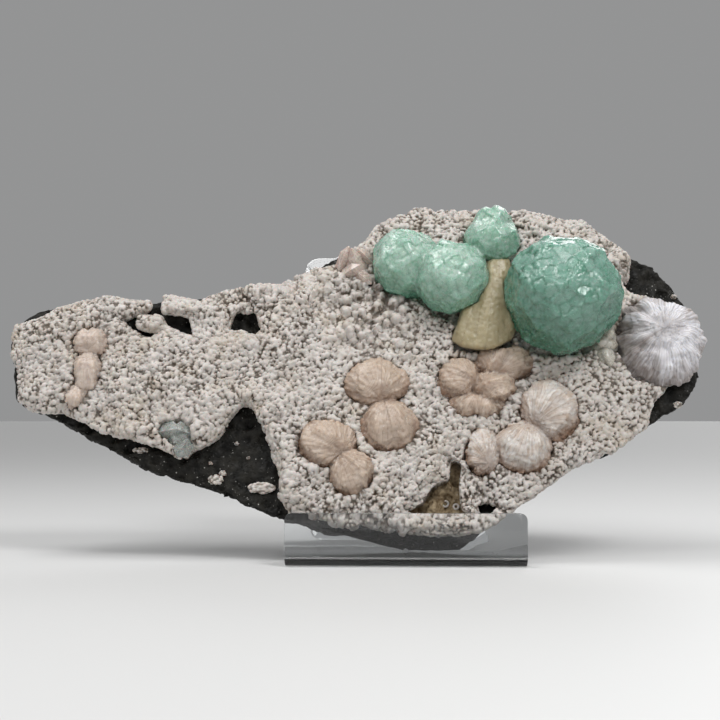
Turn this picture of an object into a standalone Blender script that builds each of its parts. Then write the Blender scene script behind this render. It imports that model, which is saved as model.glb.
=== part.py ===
"""A mineral specimen on its stand.

Dark volcanic rock carries a knobbly white crust, pale green ball-shaped crystals, peach
bow-tie sprays, a yellow stalk and a white fibrous dome. It leans in a stand that is bent
from one clear sheet.

Constants are millimetres and angles radians, and the scene is in metres. X runs along the
specimen, Y away from the viewer and Z up. The origin is on the table, under the middle of
the stand.
"""

import math
import random

import bmesh
import bpy
from mathutils import Matrix, Vector, noise

MM = 0.001
GAP = 0.35  # clearance between pieces that touch

# The stand's sheet, followed from the top of the front lip to the foot of the rear leg
SHEET = 3.0
STAND_WIDTH = 90.0
LEG_WIDTH = 59.0
LIP_FRONT_Y = -26.0
LIP_HEIGHT = 20.0
SHELF_LENGTH = 43.0  # flat part of the shelf, between its two bends
BEND_RADIUS = 4.5  # on the sheet's centre line
BEND_STEPS = 5
REST_LEAN = math.radians(23.0)
REST_HEIGHT = 127.0  # where the sheet narrows and folds over
LEG_LEAN = math.radians(7.8)  # the rear leg comes forwards as it goes down
CORNER_RADIUS = 2.5
SHOULDER_RADIUS = 6.0
HOLE_DIAMETER = 2.2
HOLE_HEIGHT = 6.0
HOLE_SIDES = 12
REST_RUNS = 3  # runs of the sheet before the bend into the rest

# The plane where the crust sits on the rock leans back
FACE_LEAN = math.radians(18.0)
FACE_FOOT_Y = -14.0
FACE_NORMAL = Vector((0.0, math.cos(FACE_LEAN), -math.sin(FACE_LEAN)))  # into the rock

# Plates are cut from a flat slab, ten millimetres for each layer, on a grid over the specimen
LAYER = 10.0
GRID_LEFT, GRID_RIGHT = -164.0, 120.0
GRID_LOW, GRID_HIGH = 8.0, 144.0
GRID_MERGE = 0.24  # share of a grid step within which points are made one
CUT_SNAP = 1e-4

ROCK_GRID = 9.0
ROCK_LAYERS = 3
ROCK_INSETS = (1.0, 1.015, 0.97, 0.87)  # outline of each layer, front to back
ROCK_CENTRE = (5.0, 72.0)
ROCK_EDGE_DEPTH = 24.0
ROCK_MIDDLE_DEPTH = 26.0  # added in the middle of its length
ROCK_MIDDLE_SPREAD = 70.0
FOOT_DROP = 10.0  # the underside swells down onto the shelf
FOOT_SPREAD = 30.0
FOOT_TOP = 44.0
# Relief of the rock, each a depth and the size of its noise
ROCK_SMALL_PITS = (2.4, 7.0)
ROCK_WIDE_PITS = (1.44, 19.0)
ROCK_WIDE_LEDGES = (5.0, 24.0)
ROCK_SMALL_LEDGES = (3.0, 9.0)
ROCK_BACK_HOLLOWS = (9.0, 26.0)
ROCK_NOISE_DEPTH = 40.0  # how far the noise reaches through the rock
LEDGE_OUT, LEDGE_UP = 0.4, 0.5  # shares of a ledge that move it sideways and up

CRUST_GRID = 7.0
CRUST_THICKNESS = 5.6
CRUST_RIM = 0.55  # share of the thickness left at the crust's edges
CRUST_FLOOR = 1.8  # crust left under what grows on it, from the rock's face
CRUST_SWELL = (1.2, 26.0)  # height and size of its swells
CRUST_KNOB = (2.0, 8.5, 0.62)  # height, spacing and share of the spacing of its knobs
FLAT_BACK = math.radians(0.3)

ROCK_OUTLINE = [
    (-160, 85), (-160, 91), (-154, 96), (-148, 100), (-137, 101), (-122, 104), (-105, 102),
    (-89, 104), (-72, 105), (-49, 109), (-31, 120), (-19, 125), (-13, 132), (-6, 137),
    (6, 141), (27, 140), (48, 140), (64, 137), (77, 133), (92, 121), (100, 118), (104, 113),
    (109, 106), (115, 98), (118, 88), (115, 76), (117, 71), (110, 61), (101, 55), (94, 51),
    (86, 45), (76, 39), (64, 36), (54, 29), (42, 20), (29, 13), (13, 11), (-10, 12),
    (-32, 13), (-44, 15), (-59, 20), (-74, 26), (-93, 32), (-109, 39), (-123, 46),
    (-136, 53), (-149, 58), (-156, 62), (-158, 75),
]  # fmt: skip
CRUST_OUTLINE = [
    (-159, 87), (-157, 92), (-149, 95), (-141, 100), (-132, 102), (-121, 104), (-112, 103),
    (-103, 102), (-97, 105), (-88, 104), (-83, 102), (-79, 105), (-60, 108), (-49, 109),
    (-44, 112), (-28, 118), (-25, 122), (-19, 125), (-12, 134), (-8, 136), (1, 139),
    (6, 141), (17, 140), (49, 140), (58, 138), (66, 135), (73, 135), (80, 130), (88, 124),
    (91, 120), (89, 114), (87, 109), (91, 104), (100, 102), (109, 97), (113, 88), (113, 79),
    (108, 71), (102, 67), (97, 62),
    (93, 52), (86, 47), (79, 42), (71, 39), (64, 37), (58, 32), (51, 27), (46, 24),
    (40, 19), (35, 16), (29, 13), (19, 11), (8, 11), (-4, 13), (-19, 14), (-32, 17),
    (-44, 19), (-48, 25), (-48, 33), (-51, 40), (-54, 49), (-60, 59), (-64, 61), (-68, 57),
    (-71, 51), (-75, 46), (-83, 42), (-85, 39), (-92, 42), (-103, 46), (-114, 48),
    (-125, 53), (-136, 57), (-147, 58), (-153, 62), (-155, 73), (-158, 82),
]  # fmt: skip

# Gaps in the crust where the dark rock shows
CRUST_WINDOWS = [
    [
        (-116, 95), (-110, 97), (-104, 99), (-102, 108), (-99, 108), (-98, 98), (-87, 96),
        (-85, 88), (-89, 89), (-97, 92), (-99, 96), (-108, 96), (-108, 92), (-100, 89),
        (-102, 87), (-105, 87), (-111, 91),
    ],
    [(-69, 98), (-63, 98), (-61, 100), (-57, 91), (-60, 87), (-66, 90), (-71, 90)],
    [(-1, 19), (7, 22), (11, 28), (17, 31), (19, 38), (21, 37), (20, 30), (21, 21), (24, 18)],
    [(27, 22), (32, 23), (36, 21), (32, 18), (28, 18)],
]  # fmt: skip

# Green balls: x, z, distance in front of the face, radius, flat ends, seed
LARGE_BALL = (61.3, 103.6, 20.0, 22.6, 58, 3)
LEFT_BALLS = [
    (0.0, 117.2, 10.5, 13.4, 34, 5),
    (18.5, 111.0, 14.0, 14.4, 36, 8),
    (35.0, 127.6, 12.0, 11.2, 30, 13),
]
BALL_TIP = (36.4, 135.4, 12.0, 7.6, 5.6)  # point of the highest ball: x, z, distance, radius, height
BALL_TIP_SIDES = 6
BALL_TIP_END = 0.5
END_DEPTHS = (0.93, 1.0)  # range of the flat ends' distances, as shares of the radius
END_LIFTS = (-0.03, 0.035, 0.05)  # steps up or down on the flat ends, as shares of the radius
STEP_WIDTH = 0.11  # width of a step's border, as a share of the end's size
STEP_AREA = 0.05  # smallest end with a step, as a share of the radius squared
END_DISORDER = 0.09

# Spray lobes: x, z, half width, half height, half depth, angle of the fan's axis
BOWTIE_CENTRE = [(-11.5, 68.1, 12.9, 10.2, 9.0, 105), (-6.0, 51.6, 10.9, 10.9, 8.5, -75)]
BOWTIE_LOWER_LEFT = [(-30.2, 44.8, 11.8, 9.6, 8.5, 140), (-20.6, 33.8, 8.7, 9.7, 7.5, -50)]
GROUP_CENTRE_RIGHT = [
    (21.2, 70.4, 8.3, 8.3, 9.0, 150),
    (34.7, 66.9, 8.8, 6.8, 10.5, 20),
    (38.9, 76.0, 11.6, 8.3, 7.5, 60),
    (28.3, 60.0, 10.6, 5.4, 7.0, -90),
]
GROUP_LOWER_RIGHT = [
    (44.7, 43.2, 11.2, 10.4, 9.5, -110),
    (55.6, 57.3, 11.8, 12.4, 9.5, 45),
    (29.6, 41.3, 6.9, 9.6, 7.0, 110),
]
BOWTIE_LEFT_END = [
    (-126.1, 85.0, 7.2, 6.4, 7.5, 90),
    (-126.0, 72.2, 5.8, 9.4, 7.2, -90),
    (-129.9, 63.0, 4.2, 4.6, 6.8, -110),
]
SPRAYS = {
    "stilbite_bowtie_centre": BOWTIE_CENTRE,
    "stilbite_bowtie_lower_left": BOWTIE_LOWER_LEFT,
    "stilbite_group_centre_right": GROUP_CENTRE_RIGHT,
    "stilbite_group_lower_right": GROUP_LOWER_RIGHT,
    "stilbite_bowtie_left_end": BOWTIE_LEFT_END,
}
LOBE_RIBS = 14
LOBE_RINGS = 8
SMALL_LOBE = 7.5  # lobes narrower than this have fewer ribs
SMALL_LOBE_RIBS = 10
SMALL_LOBE_RINGS = 6
LOBE_PROUD = 5.0
RIB_DEPTH = 0.06

# Yellow stalk: foot and tip, each x, z, distance in front of the face, half width, half depth
STALK_FOOT = (29.6, 82.6, 8.0, 13.4, 7.4)
STALK_TIP = (37.4, 121.0, 13.0, 5.2, 5.0)
STALK_SIDES = 14
STALK_SLICES = (-0.6, 0.6, 0.4)
STALK_TAPER = 1.25  # above 1 keeps the foot wide for longer
STALK_RIPPLE = 0.08
STALK_FOOT_ROUND = 0.86
STALK_TIP_ROUND = 0.7

# White fibrous dome
DOME_CENTRE = (100.3, 84.0)
DOME_RADII = (17.4, 15.0, 19.2)
DOME_PROUD = 2.0
DOME_RIBS = 22
DOME_RINGS = 9
DOME_RIB_DEPTH = 0.05
DOME_ROUGHNESS = (0.05, 2.3)  # depth and how often it changes

# Straight wells in the crust, one for the foot of each shape that grows in it
WELL_SIDES = 14
WELL_REACH = 12.5  # how much of a shape's foot counts, from the rock's face
WELL_DEPTH = 40.0

# Clusters of small pointed crystals: x, z, length, width, lean from the vertical
TOP_CRYSTALS = [
    (-25.2, 119.0, 11.0, 5.0, 24), (-19.6, 117.4, 12.0, 5.4, -18), (-22.6, 114.6, 9.0, 5.0, 62),
    (-15.6, 120.4, 9.0, 4.4, -48), (-17.4, 112.4, 9.0, 5.2, 130),
]  # fmt: skip
RIGHT_CRYSTALS = [
    (79.6, 89.0, 10.0, 4.6, -20), (77.4, 84.6, 10.0, 4.8, 40), (81.4, 84.2, 9.5, 4.4, -80),
    (78.6, 80.4, 9.0, 4.4, 160),
]  # fmt: skip
CLEAR_CRYSTALS = [
    (-92.0, 50.4, 8.5, 6.6, 82), (-86.4, 50.2, 8.0, 6.2, -70), (-86.0, 43.8, 7.4, 6.4, -150),
]  # fmt: skip
CRYSTAL_PROUD = 5.5
CRYSTAL_POINT = 0.34  # share of the length taken by the point
CRYSTAL_SIDES = 4
CRYSTAL_BLUNT = 0.16  # width left at the point
CRYSTAL_FORWARD = math.radians(35.0)
CLUSTER_BASE = (6.0, 6.5, 5.6)
CLUSTER_PROUD = 2.0

PEACH = (0.62, 0.42, 0.31)
GREEN = (0.35, 0.62, 0.5)
WHITE = (0.75, 0.74, 0.74)
CLEAR = (0.95, 0.97, 0.98)
BLACK = (0.02, 0.019, 0.017)
CREAM = (0.62, 0.58, 0.54)
YELLOW = (0.62, 0.55, 0.3)
GREY = (0.6, 0.62, 0.62)
SMOOTH_UNDER = math.radians(40.0)
STAND_PARENT = "specimen_and_stand"


def face_y(z):
    """Y of the plane between the rock and its crust."""
    return FACE_FOOT_Y + (z - SHEET) * math.tan(FACE_LEAN)


def face_point(x, z, proud):
    """A point this far in front of the plane."""
    return Vector((x, face_y(z) - proud, z))


def principled(name, colour, roughness, transmission=0.0, ior=1.5):
    """A material with one Principled shader."""
    material = bpy.data.materials.new(name)
    material.use_nodes = True
    shader = material.node_tree.nodes["Principled BSDF"]
    shader.inputs["Base Color"].default_value = (*colour, 1.0)
    shader.inputs["Roughness"].default_value = roughness
    shader.inputs["Metallic"].default_value = 0.0
    shader.inputs["Transmission Weight"].default_value = transmission
    shader.inputs["IOR"].default_value = ior
    return material


def make_object(bm, name):
    """Turns a mesh in millimetres into an object in metres."""
    bmesh.ops.recalc_face_normals(bm, faces=bm.faces[:])
    if bm.calc_volume(signed=True) < 0.0:
        bmesh.ops.reverse_faces(bm, faces=bm.faces[:])
    bmesh.ops.scale(bm, vec=(MM, MM, MM), verts=bm.verts[:])
    mesh = bpy.data.meshes.new(name)
    bm.to_mesh(mesh)
    bm.free()
    obj = bpy.data.objects.new(name, mesh)
    bpy.context.scene.collection.objects.link(obj)
    return obj


def mesh_of(obj):
    """The object's mesh in millimetres, as a bmesh."""
    bm = bmesh.new()
    bm.from_mesh(obj.data)
    bmesh.ops.scale(bm, vec=(1.0 / MM,) * 3, verts=bm.verts[:])
    return bm


def replace_mesh(obj, bm):
    """Gives the object this mesh, which is in millimetres."""
    bmesh.ops.scale(bm, vec=(MM, MM, MM), verts=bm.verts[:])
    bm.to_mesh(obj.data)
    bm.free()


def combine(obj, operation, others):
    """Applies one Boolean with each of the other objects, and removes them."""
    for other in others:
        modifier = obj.modifiers.new(other.name, "BOOLEAN")
        modifier.operation = operation
        modifier.solver = "MANIFOLD"  # EXACT leaves open seams where shapes share a flat base
        modifier.object = other
    bpy.context.view_layer.update()
    graph = bpy.context.evaluated_depsgraph_get()
    mesh = bpy.data.meshes.new_from_object(obj.evaluated_get(graph))
    obj.modifiers.clear()
    obj.data = mesh
    for other in others:
        bpy.data.objects.remove(other)


def clean(obj):
    """Triangulates the mesh and keeps only its largest connected piece."""
    bm = mesh_of(obj)
    bmesh.ops.triangulate(bm, faces=bm.faces[:])
    pieces = []
    left = set(bm.faces)
    while left:
        piece = [left.pop()]
        for face in piece:
            near = {other for edge in face.edges for other in edge.link_faces} & left
            left -= near
            piece.extend(near)
        pieces.append(piece)
    pieces.sort(key=len, reverse=True)
    loose = [face for piece in pieces[1:] for face in piece]
    bmesh.ops.delete(bm, geom=loose, context="FACES")
    replace_mesh(obj, bm)


def grown_hull(bm):
    """The convex hull of a shape, larger by the gap all over, as a mesh."""
    hull = bmesh.new()
    for vert in bm.verts:
        hull.verts.new(vert.co)
    made = bmesh.ops.convex_hull(hull, input=hull.verts[:])
    unused = {part for part in made["geom_interior"] if isinstance(part, bmesh.types.BMVert)}
    bmesh.ops.delete(hull, geom=list(unused), context="VERTS")
    hull.normal_update()
    for vert in hull.verts:
        vert.co += vert.normal * GAP * min(vert.calc_shell_factor(), 1.6)
    mesh = bpy.data.meshes.new("hull")
    hull.to_mesh(mesh)
    hull.free()
    return mesh


def well_mesh(bm):
    """A many-sided straight well, square to the face, that clears the foot of a shape."""
    up = Vector((0.0, math.sin(FACE_LEAN), math.cos(FACE_LEAN)))
    origin = face_point(0.0, SHEET, CRUST_FLOOR)
    low = [vert.co - origin for vert in bm.verts if (origin - vert.co).dot(FACE_NORMAL) < WELL_REACH]
    turn = 2.0 * math.pi / WELL_SIDES
    reaches = []
    for side in range(WELL_SIDES):
        out = Vector((math.cos(side * turn), 0.0, 0.0)) + up * math.sin(side * turn)
        reaches.append(max(point.dot(out) for point in low) + GAP)
    well = bmesh.new()
    corners = []
    for side, reach in enumerate(reaches):
        following = reaches[(side + 1) % WELL_SIDES]
        across = (following - reach * math.cos(turn)) / math.sin(turn)
        angle = side * turn
        x = reach * math.cos(angle) - across * math.sin(angle)
        height = reach * math.sin(angle) + across * math.cos(angle)
        corners.append(well.verts.new(origin + Vector((x, 0.0, 0.0)) + up * height))
    well.faces.new(corners)
    grown = bmesh.ops.extrude_face_region(well, geom=well.faces[:])
    top = [part for part in grown["geom"] if isinstance(part, bmesh.types.BMVert)]
    bmesh.ops.translate(well, verts=top, vec=-FACE_NORMAL * WELL_DEPTH)
    mesh = bpy.data.meshes.new("well")
    well.to_mesh(mesh)
    well.free()
    return mesh


class Growth:
    """One piece grown from overlapping shapes, and what clears a place for it in other pieces."""

    def __init__(self, name, shapes):
        self.hulls = [grown_hull(shape) for shape in shapes]
        self.wells = [well_mesh(shape) for shape in shapes]
        self.obj, *others = [make_object(shape, name) for shape in shapes]
        combine(self.obj, "UNION", others)
        self.obj.name = name

    def cut_from(self, obj, meshes):
        """Cuts the hulls or the wells out of another piece."""
        cutters = []
        for mesh in meshes:
            bm = bmesh.new()
            bm.from_mesh(mesh)
            cutters.append(make_object(bm, "cutter"))
        combine(obj, "DIFFERENCE", cutters)
        clean(obj)

    def clear_by_hull(self, other):
        """Makes room in this piece for another."""
        other.cut_from(self.obj, other.hulls)


def seat(bm):
    """Cuts the mesh off flat where it meets the floor of its well."""
    cut = bmesh.ops.bisect_plane(
        bm,
        geom=bm.verts[:] + bm.edges[:] + bm.faces[:],
        dist=CUT_SNAP,
        plane_co=face_point(0.0, SHEET, CRUST_FLOOR + GAP),
        plane_no=FACE_NORMAL,
        clear_outer=True,
    )
    rim = [part for part in cut["geom_cut"] if isinstance(part, bmesh.types.BMEdge)]
    if rim:
        bmesh.ops.edgeloop_fill(bm, edges=rim)


def prism(outline, start, depth):
    """A straight prism over an outline in X and Z."""
    bm = bmesh.new()
    bm.faces.new([bm.verts.new((x, start, z)) for x, z in outline])
    grown = bmesh.ops.extrude_face_region(bm, geom=bm.faces[:])
    top = [part for part in grown["geom"] if isinstance(part, bmesh.types.BMVert)]
    bmesh.ops.translate(bm, verts=top, vec=(0.0, depth, 0.0))
    bmesh.ops.recalc_face_normals(bm, faces=bm.faces[:])
    return bm


def grid_cut(bm, axis, start, stop, step):
    """Slices the mesh with evenly spaced planes square to one axis."""
    normal = Vector((0.0, 0.0, 0.0))
    normal[axis] = 1.0
    count = int((stop - start) / step)
    for index in range(count + 1):
        bmesh.ops.bisect_plane(
            bm,
            geom=bm.verts[:] + bm.edges[:] + bm.faces[:],
            dist=CUT_SNAP,
            plane_co=normal * (start + index * step),
            plane_no=normal,
        )


def plate(name, outline, windows, layers, step):
    """A flat gridded plate whose Y counts its layers, front to back."""
    obj = make_object(prism(outline, 0.0, LAYER * layers), name)
    if windows:
        through = LAYER * (layers + 1.0)
        cutters = [make_object(prism(hole, -LAYER / 2.0, through), "window") for hole in windows]
        combine(obj, "DIFFERENCE", cutters)
    bm = mesh_of(obj)
    bpy.data.objects.remove(obj)
    grid_cut(bm, 0, GRID_LEFT, GRID_RIGHT, step)
    grid_cut(bm, 2, GRID_LOW, GRID_HIGH, step)
    grid_cut(bm, 1, LAYER, LAYER * (layers - 1.0), LAYER)
    bmesh.ops.remove_doubles(bm, verts=bm.verts[:], dist=GRID_MERGE * step)
    bmesh.ops.triangulate(bm, faces=bm.faces[:])
    return bm


def rim_verts(bm):
    """Vertices on the edge of the plate's outline or of a window in it."""
    return {vert for face in bm.faces if abs(face.normal.y) < 0.5 for vert in face.verts}


def sheet_runs():
    """Straight runs and bends of the stand's centre line, as length and turn."""
    quarter = math.pi / 2.0
    fold = math.pi - REST_LEAN + LEG_LEAN
    rise = REST_HEIGHT - SHEET / 2.0 - BEND_RADIUS * (1.0 - math.sin(REST_LEAN))
    runs = [
        (LIP_HEIGHT - SHEET / 2.0 - BEND_RADIUS, 0.0),
        (BEND_RADIUS * quarter, quarter),
        (SHELF_LENGTH, 0.0),
        (BEND_RADIUS * (quarter - REST_LEAN), quarter - REST_LEAN),
        (rise / math.cos(REST_LEAN), 0.0),
        (BEND_RADIUS * fold, -fold),
    ]
    top = sheet_point(runs, sum(length for length, _ in runs), 0.0)[1]
    leg = (top - SHEET / 2.0 * math.sin(LEG_LEAN)) / math.cos(LEG_LEAN)
    return [*runs, (leg, 0.0)]


def sheet_point(runs, along, offset):
    """Y and Z of a point of the bent sheet, from its place on the flat sheet."""
    y, z, heading = LIP_FRONT_Y + SHEET / 2.0, LIP_HEIGHT, -math.pi / 2.0
    for length, turn in runs:
        part = min(along, length)
        if turn:
            after = heading + turn * part / length
            radius = length / turn
            y += radius * (math.sin(after) - math.sin(heading))
            z -= radius * (math.cos(after) - math.cos(heading))
            heading = after
        else:
            y += part * math.cos(heading)
            z += part * math.sin(heading)
        along -= part
        if along <= 0.0:
            break
    return y - offset * math.sin(heading), z + offset * math.cos(heading)


def rounded(corners, steps=3):
    """An outline whose corners are arcs: each corner is x, y and its radius."""
    points = []
    for index, (x, y, radius) in enumerate(corners):
        corner = Vector((x, y))
        before = (Vector(corners[index - 1][:2]) - corner).normalized()
        after = (Vector(corners[(index + 1) % len(corners)][:2]) - corner).normalized()
        centre = corner + (before + after) * radius
        start = corner + before * radius - centre
        swing = start.angle_signed(corner + after * radius - centre)
        for step in range(steps + 1):
            turn = Matrix.Rotation(-swing * step / steps, 2)
            points.append(centre + turn @ start)
    return points


def make_stand():
    """One sheet with a lip, a shelf, a leaning rest and a rear leg."""
    runs = sheet_runs()
    shoulder = sum(length for length, _ in runs[: REST_RUNS + 2])
    end = sum(length for length, _ in runs)
    wide, narrow = STAND_WIDTH / 2.0, LEG_WIDTH / 2.0
    right = [
        (wide, 0.0, CORNER_RADIUS),
        (wide, shoulder, SHOULDER_RADIUS),
        (narrow, shoulder, CORNER_RADIUS),
        (narrow, end, CORNER_RADIUS),
    ]
    corners = right + [(-x, y, radius) for x, y, radius in reversed(right)]
    bm = prism(rounded(corners), -SHEET / 2.0, SHEET)
    along = 0.0
    for length, turn in runs[:-1]:
        steps = BEND_STEPS if turn else 1
        grid_cut(bm, 2, along + length / steps, along + length + 1e-3, length / steps)
        along += length
    for vert in bm.verts:
        x, offset, along = vert.co
        vert.co = (x, *sheet_point(runs, along, offset))
    stand = make_object(bm, "acrylic_stand")
    hole = bmesh.new()
    bmesh.ops.create_cone(
        hole,
        cap_ends=True,
        segments=HOLE_SIDES,
        radius1=HOLE_DIAMETER / 2.0,
        radius2=HOLE_DIAMETER / 2.0,
        depth=4.0 * SHEET,
        matrix=Matrix.Translation((0.0, LIP_FRONT_Y, HOLE_HEIGHT)) @ Matrix.Rotation(math.pi / 2.0, 4, "X"),
    )
    combine(stand, "DIFFERENCE", [make_object(hole, "hole")])
    return stand


def rest_planes():
    """The shelf, the rest and the bend between them, as points and directions into the free space."""
    runs = sheet_runs()
    bend_start = sum(length for length, _ in runs[:REST_RUNS])
    bend_end = bend_start + runs[REST_RUNS][0]
    low = Vector((0.0, *sheet_point(runs, bend_start, SHEET / 2.0)))
    high = Vector((0.0, *sheet_point(runs, bend_end, SHEET / 2.0)))
    along = high - low
    return [
        (low, Vector((0.0, 0.0, 1.0))),
        (high, Vector((0.0, -math.cos(REST_LEAN), math.sin(REST_LEAN)))),
        (low, Vector((0.0, -along.z, along.y)).normalized()),
    ]


def keep_clear(point, planes):
    """Moves a point that would enter the stand back to its surface."""
    for _ in range(2):
        for origin, normal in planes:
            short = GAP - (point - origin).dot(normal)
            if short > 0.0:
                point = point + normal * short
    return point


def relief(place, kind):
    """Height of one kind of relief at a place."""
    depth, size = kind
    return depth * noise.noise(place / size)


def rock_point(x, layer, z):
    """Where a point of the rock's flat plate lies on the rock."""
    centre_x, centre_z = ROCK_CENTRE
    front = face_y(z)
    depth = ROCK_EDGE_DEPTH + ROCK_MIDDLE_DEPTH * math.exp(-(((x - centre_x) / ROCK_MIDDLE_SPREAD) ** 2))
    share = layer / ROCK_LAYERS
    place = Vector((x, z, ROCK_NOISE_DEPTH * share))
    if layer == 0:
        pit = max(0.0, relief(place, ROCK_SMALL_PITS)) + max(0.0, relief(place, ROCK_WIDE_PITS))
        return Vector((x, front + pit, z))
    inset = ROCK_INSETS[layer]
    step = relief(place, ROCK_WIDE_LEDGES) + relief(place, ROCK_SMALL_LEDGES)
    out_x = centre_x + (x - centre_x) * inset
    out_z = centre_z + (z - centre_z) * inset
    to_foot = max(0.0, 1.0 - (z - SHEET) / FOOT_TOP)
    out_z -= FOOT_DROP * to_foot * math.exp(-((x / FOOT_SPREAD) ** 2))
    hollow = abs(relief(place, ROCK_BACK_HOLLOWS)) if layer == ROCK_LAYERS else 0.0
    return Vector((out_x + LEDGE_OUT * step, front + depth * share - hollow, out_z + LEDGE_UP * step))


def make_rock():
    """The dark rock: a thick irregular plate with ledges, hollows and a foot on the shelf."""
    bm = plate("basalt_matrix", ROCK_OUTLINE, [], ROCK_LAYERS, ROCK_GRID)
    planes = rest_planes()
    for vert in bm.verts:
        x, y, z = vert.co
        vert.co = keep_clear(rock_point(x, round(y / LAYER), z), planes)
    return make_object(bm, "basalt_matrix")


def crust_height(x, z):
    """Thickness of the crust, with its swells and its larger knobs."""
    place = Vector((x, z, 0.0))
    height, spacing, width = CRUST_KNOB
    nearest = noise.voronoi(place / spacing)[0][0]
    knob = height * math.sqrt(max(0.0, 1.0 - (nearest / width) ** 2))
    return CRUST_THICKNESS + relief(place, CRUST_SWELL) + knob


def make_crust():
    """The white crust over the rock's face, with gaps where the rock shows."""
    bm = plate("chalcedony_crust", CRUST_OUTLINE, CRUST_WINDOWS, 1, CRUST_GRID)
    bm.normal_update()
    rim = rim_verts(bm)
    nearest_y = LIP_FRONT_Y + SHEET + GAP
    for vert in bm.verts:
        x, y, z = vert.co
        proud = GAP
        if y < LAYER / 2.0:
            proud += crust_height(x, z) * (CRUST_RIM if vert in rim else 1.0)
        vert.co = face_point(x, z, proud)
        vert.co.y = max(vert.co.y, nearest_y)
    bm.normal_update()
    back = {face for face in bm.faces if face.normal.dot(FACE_NORMAL) > 0.999}
    edges = [edge for edge in bm.edges if set(edge.link_faces) <= back]
    verts = [vert for vert in bm.verts if set(vert.link_faces) <= back]
    bmesh.ops.dissolve_limit(bm, angle_limit=FLAT_BACK, verts=verts, edges=edges)
    return make_object(bm, "chalcedony_crust")


def spread(count, seed):
    """Evenly spread directions with a little disorder."""
    chance = random.Random(seed)
    golden = math.pi * (3.0 - math.sqrt(5.0))
    for index in range(count):
        height = 1.0 - (2.0 * index + 1.0) / count
        ring = math.sqrt(1.0 - height * height)
        angle = golden * index
        wobble = Vector([chance.uniform(-END_DISORDER, END_DISORDER) for _ in range(3)])
        yield (Vector((ring * math.cos(angle), ring * math.sin(angle), height)) + wobble).normalized()


def faceted_ball(x, z, proud, radius, facets, seed):
    """A ball of flat crystal ends, some of them stepped up or down."""
    chance = random.Random(seed)
    bm = bmesh.new()
    bmesh.ops.create_cube(bm, size=2.6 * radius)
    for direction in spread(facets, seed):
        cut = bmesh.ops.bisect_plane(
            bm,
            geom=bm.verts[:] + bm.edges[:] + bm.faces[:],
            dist=CUT_SNAP,
            plane_co=direction * radius * chance.uniform(*END_DEPTHS),
            plane_no=direction,
            clear_outer=True,
        )
        rim = [part for part in cut["geom_cut"] if isinstance(part, bmesh.types.BMEdge)]
        if rim:
            bmesh.ops.edgeloop_fill(bm, edges=rim)
    bmesh.ops.dissolve_degenerate(bm, dist=0.03 * radius, edges=bm.edges[:])
    least = STEP_AREA * radius**2
    ends = [face for face in bm.faces if face.calc_area() > least and face.normal.y < 0.3]
    for face in ends[::2]:
        width = STEP_WIDTH * math.sqrt(face.calc_area())
        lift = chance.choice(END_LIFTS) * radius
        bmesh.ops.inset_individual(bm, faces=[face], thickness=width, depth=lift)
    bmesh.ops.translate(bm, verts=bm.verts[:], vec=face_point(x, z, proud))
    return bm


def make_large_ball():
    """The large green ball of crystals."""
    bm = faceted_ball(*LARGE_BALL)
    seat(bm)
    return Growth("apophyllite_ball_large", [bm])


def make_left_balls():
    """Three green balls grown together, the highest with a pointed end."""
    balls = [faceted_ball(*ball) for ball in LEFT_BALLS]
    x, z, proud, radius, height = BALL_TIP
    tip = bmesh.new()
    bmesh.ops.create_cone(
        tip, cap_ends=True, segments=BALL_TIP_SIDES, radius1=radius, radius2=BALL_TIP_END, depth=height
    )
    middle = face_point(x, LEFT_BALLS[-1][1], proud)
    middle.z = z + height / 2.0
    bmesh.ops.translate(tip, verts=tip.verts[:], vec=middle)
    for ball in balls:
        seat(ball)
    return Growth("apophyllite_balls_left", [*balls, tip])


def lobe(x, z, half_width, half_height, half_depth, angle):
    """A ribbed rounded fan of thin blades, its ribs running along its axis."""
    small = half_width < SMALL_LOBE
    ribs = SMALL_LOBE_RIBS if small else LOBE_RIBS
    rings = SMALL_LOBE_RINGS if small else LOBE_RINGS
    bm = bmesh.new()
    bmesh.ops.create_uvsphere(bm, u_segments=ribs, v_segments=rings, radius=1.0)
    for vert in bm.verts:
        sector = round(math.atan2(vert.co.y, vert.co.x) / (2.0 * math.pi) * ribs)
        rib = 1.0 + RIB_DEPTH * (1 if sector % 2 else -1)
        vert.co.x *= rib
        vert.co.y *= rib
    bmesh.ops.rotate(bm, verts=bm.verts[:], matrix=Matrix.Rotation(math.radians(90.0 - angle), 3, "Y"))
    bmesh.ops.scale(bm, verts=bm.verts[:], vec=(half_width, half_depth, half_height))
    bmesh.ops.translate(bm, verts=bm.verts[:], vec=face_point(x, z, LOBE_PROUD))
    seat(bm)
    return bm


def make_stalk():
    """The yellow stalk between the green balls, narrow at the top."""
    bm = bmesh.new()
    bmesh.ops.create_cone(bm, cap_ends=True, segments=STALK_SIDES, radius1=1.0, radius2=1.0, depth=2.0)
    grid_cut(bm, 2, *STALK_SLICES)
    for vert in bm.verts:
        share = (vert.co.z + 1.0) / 2.0
        x, z, proud, wide, deep = (
            low + (high - low) * share for low, high in zip(STALK_FOOT, STALK_TIP, strict=True)
        )
        wide = STALK_FOOT[3] + (STALK_TIP[3] - STALK_FOOT[3]) * share**STALK_TAPER
        size = 1.0 + STALK_RIPPLE * math.sin(9.0 * vert.co.x + 5.0 * share)
        if share < 0.05:
            size *= STALK_FOOT_ROUND
        if share > 0.95:
            size *= STALK_TIP_ROUND
        vert.co = face_point(x, z, proud) + Vector((vert.co.x * wide, vert.co.y * deep, 0.0)) * size
    seat(bm)
    return Growth("stilbite_stalk_yellow", [bm])


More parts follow.
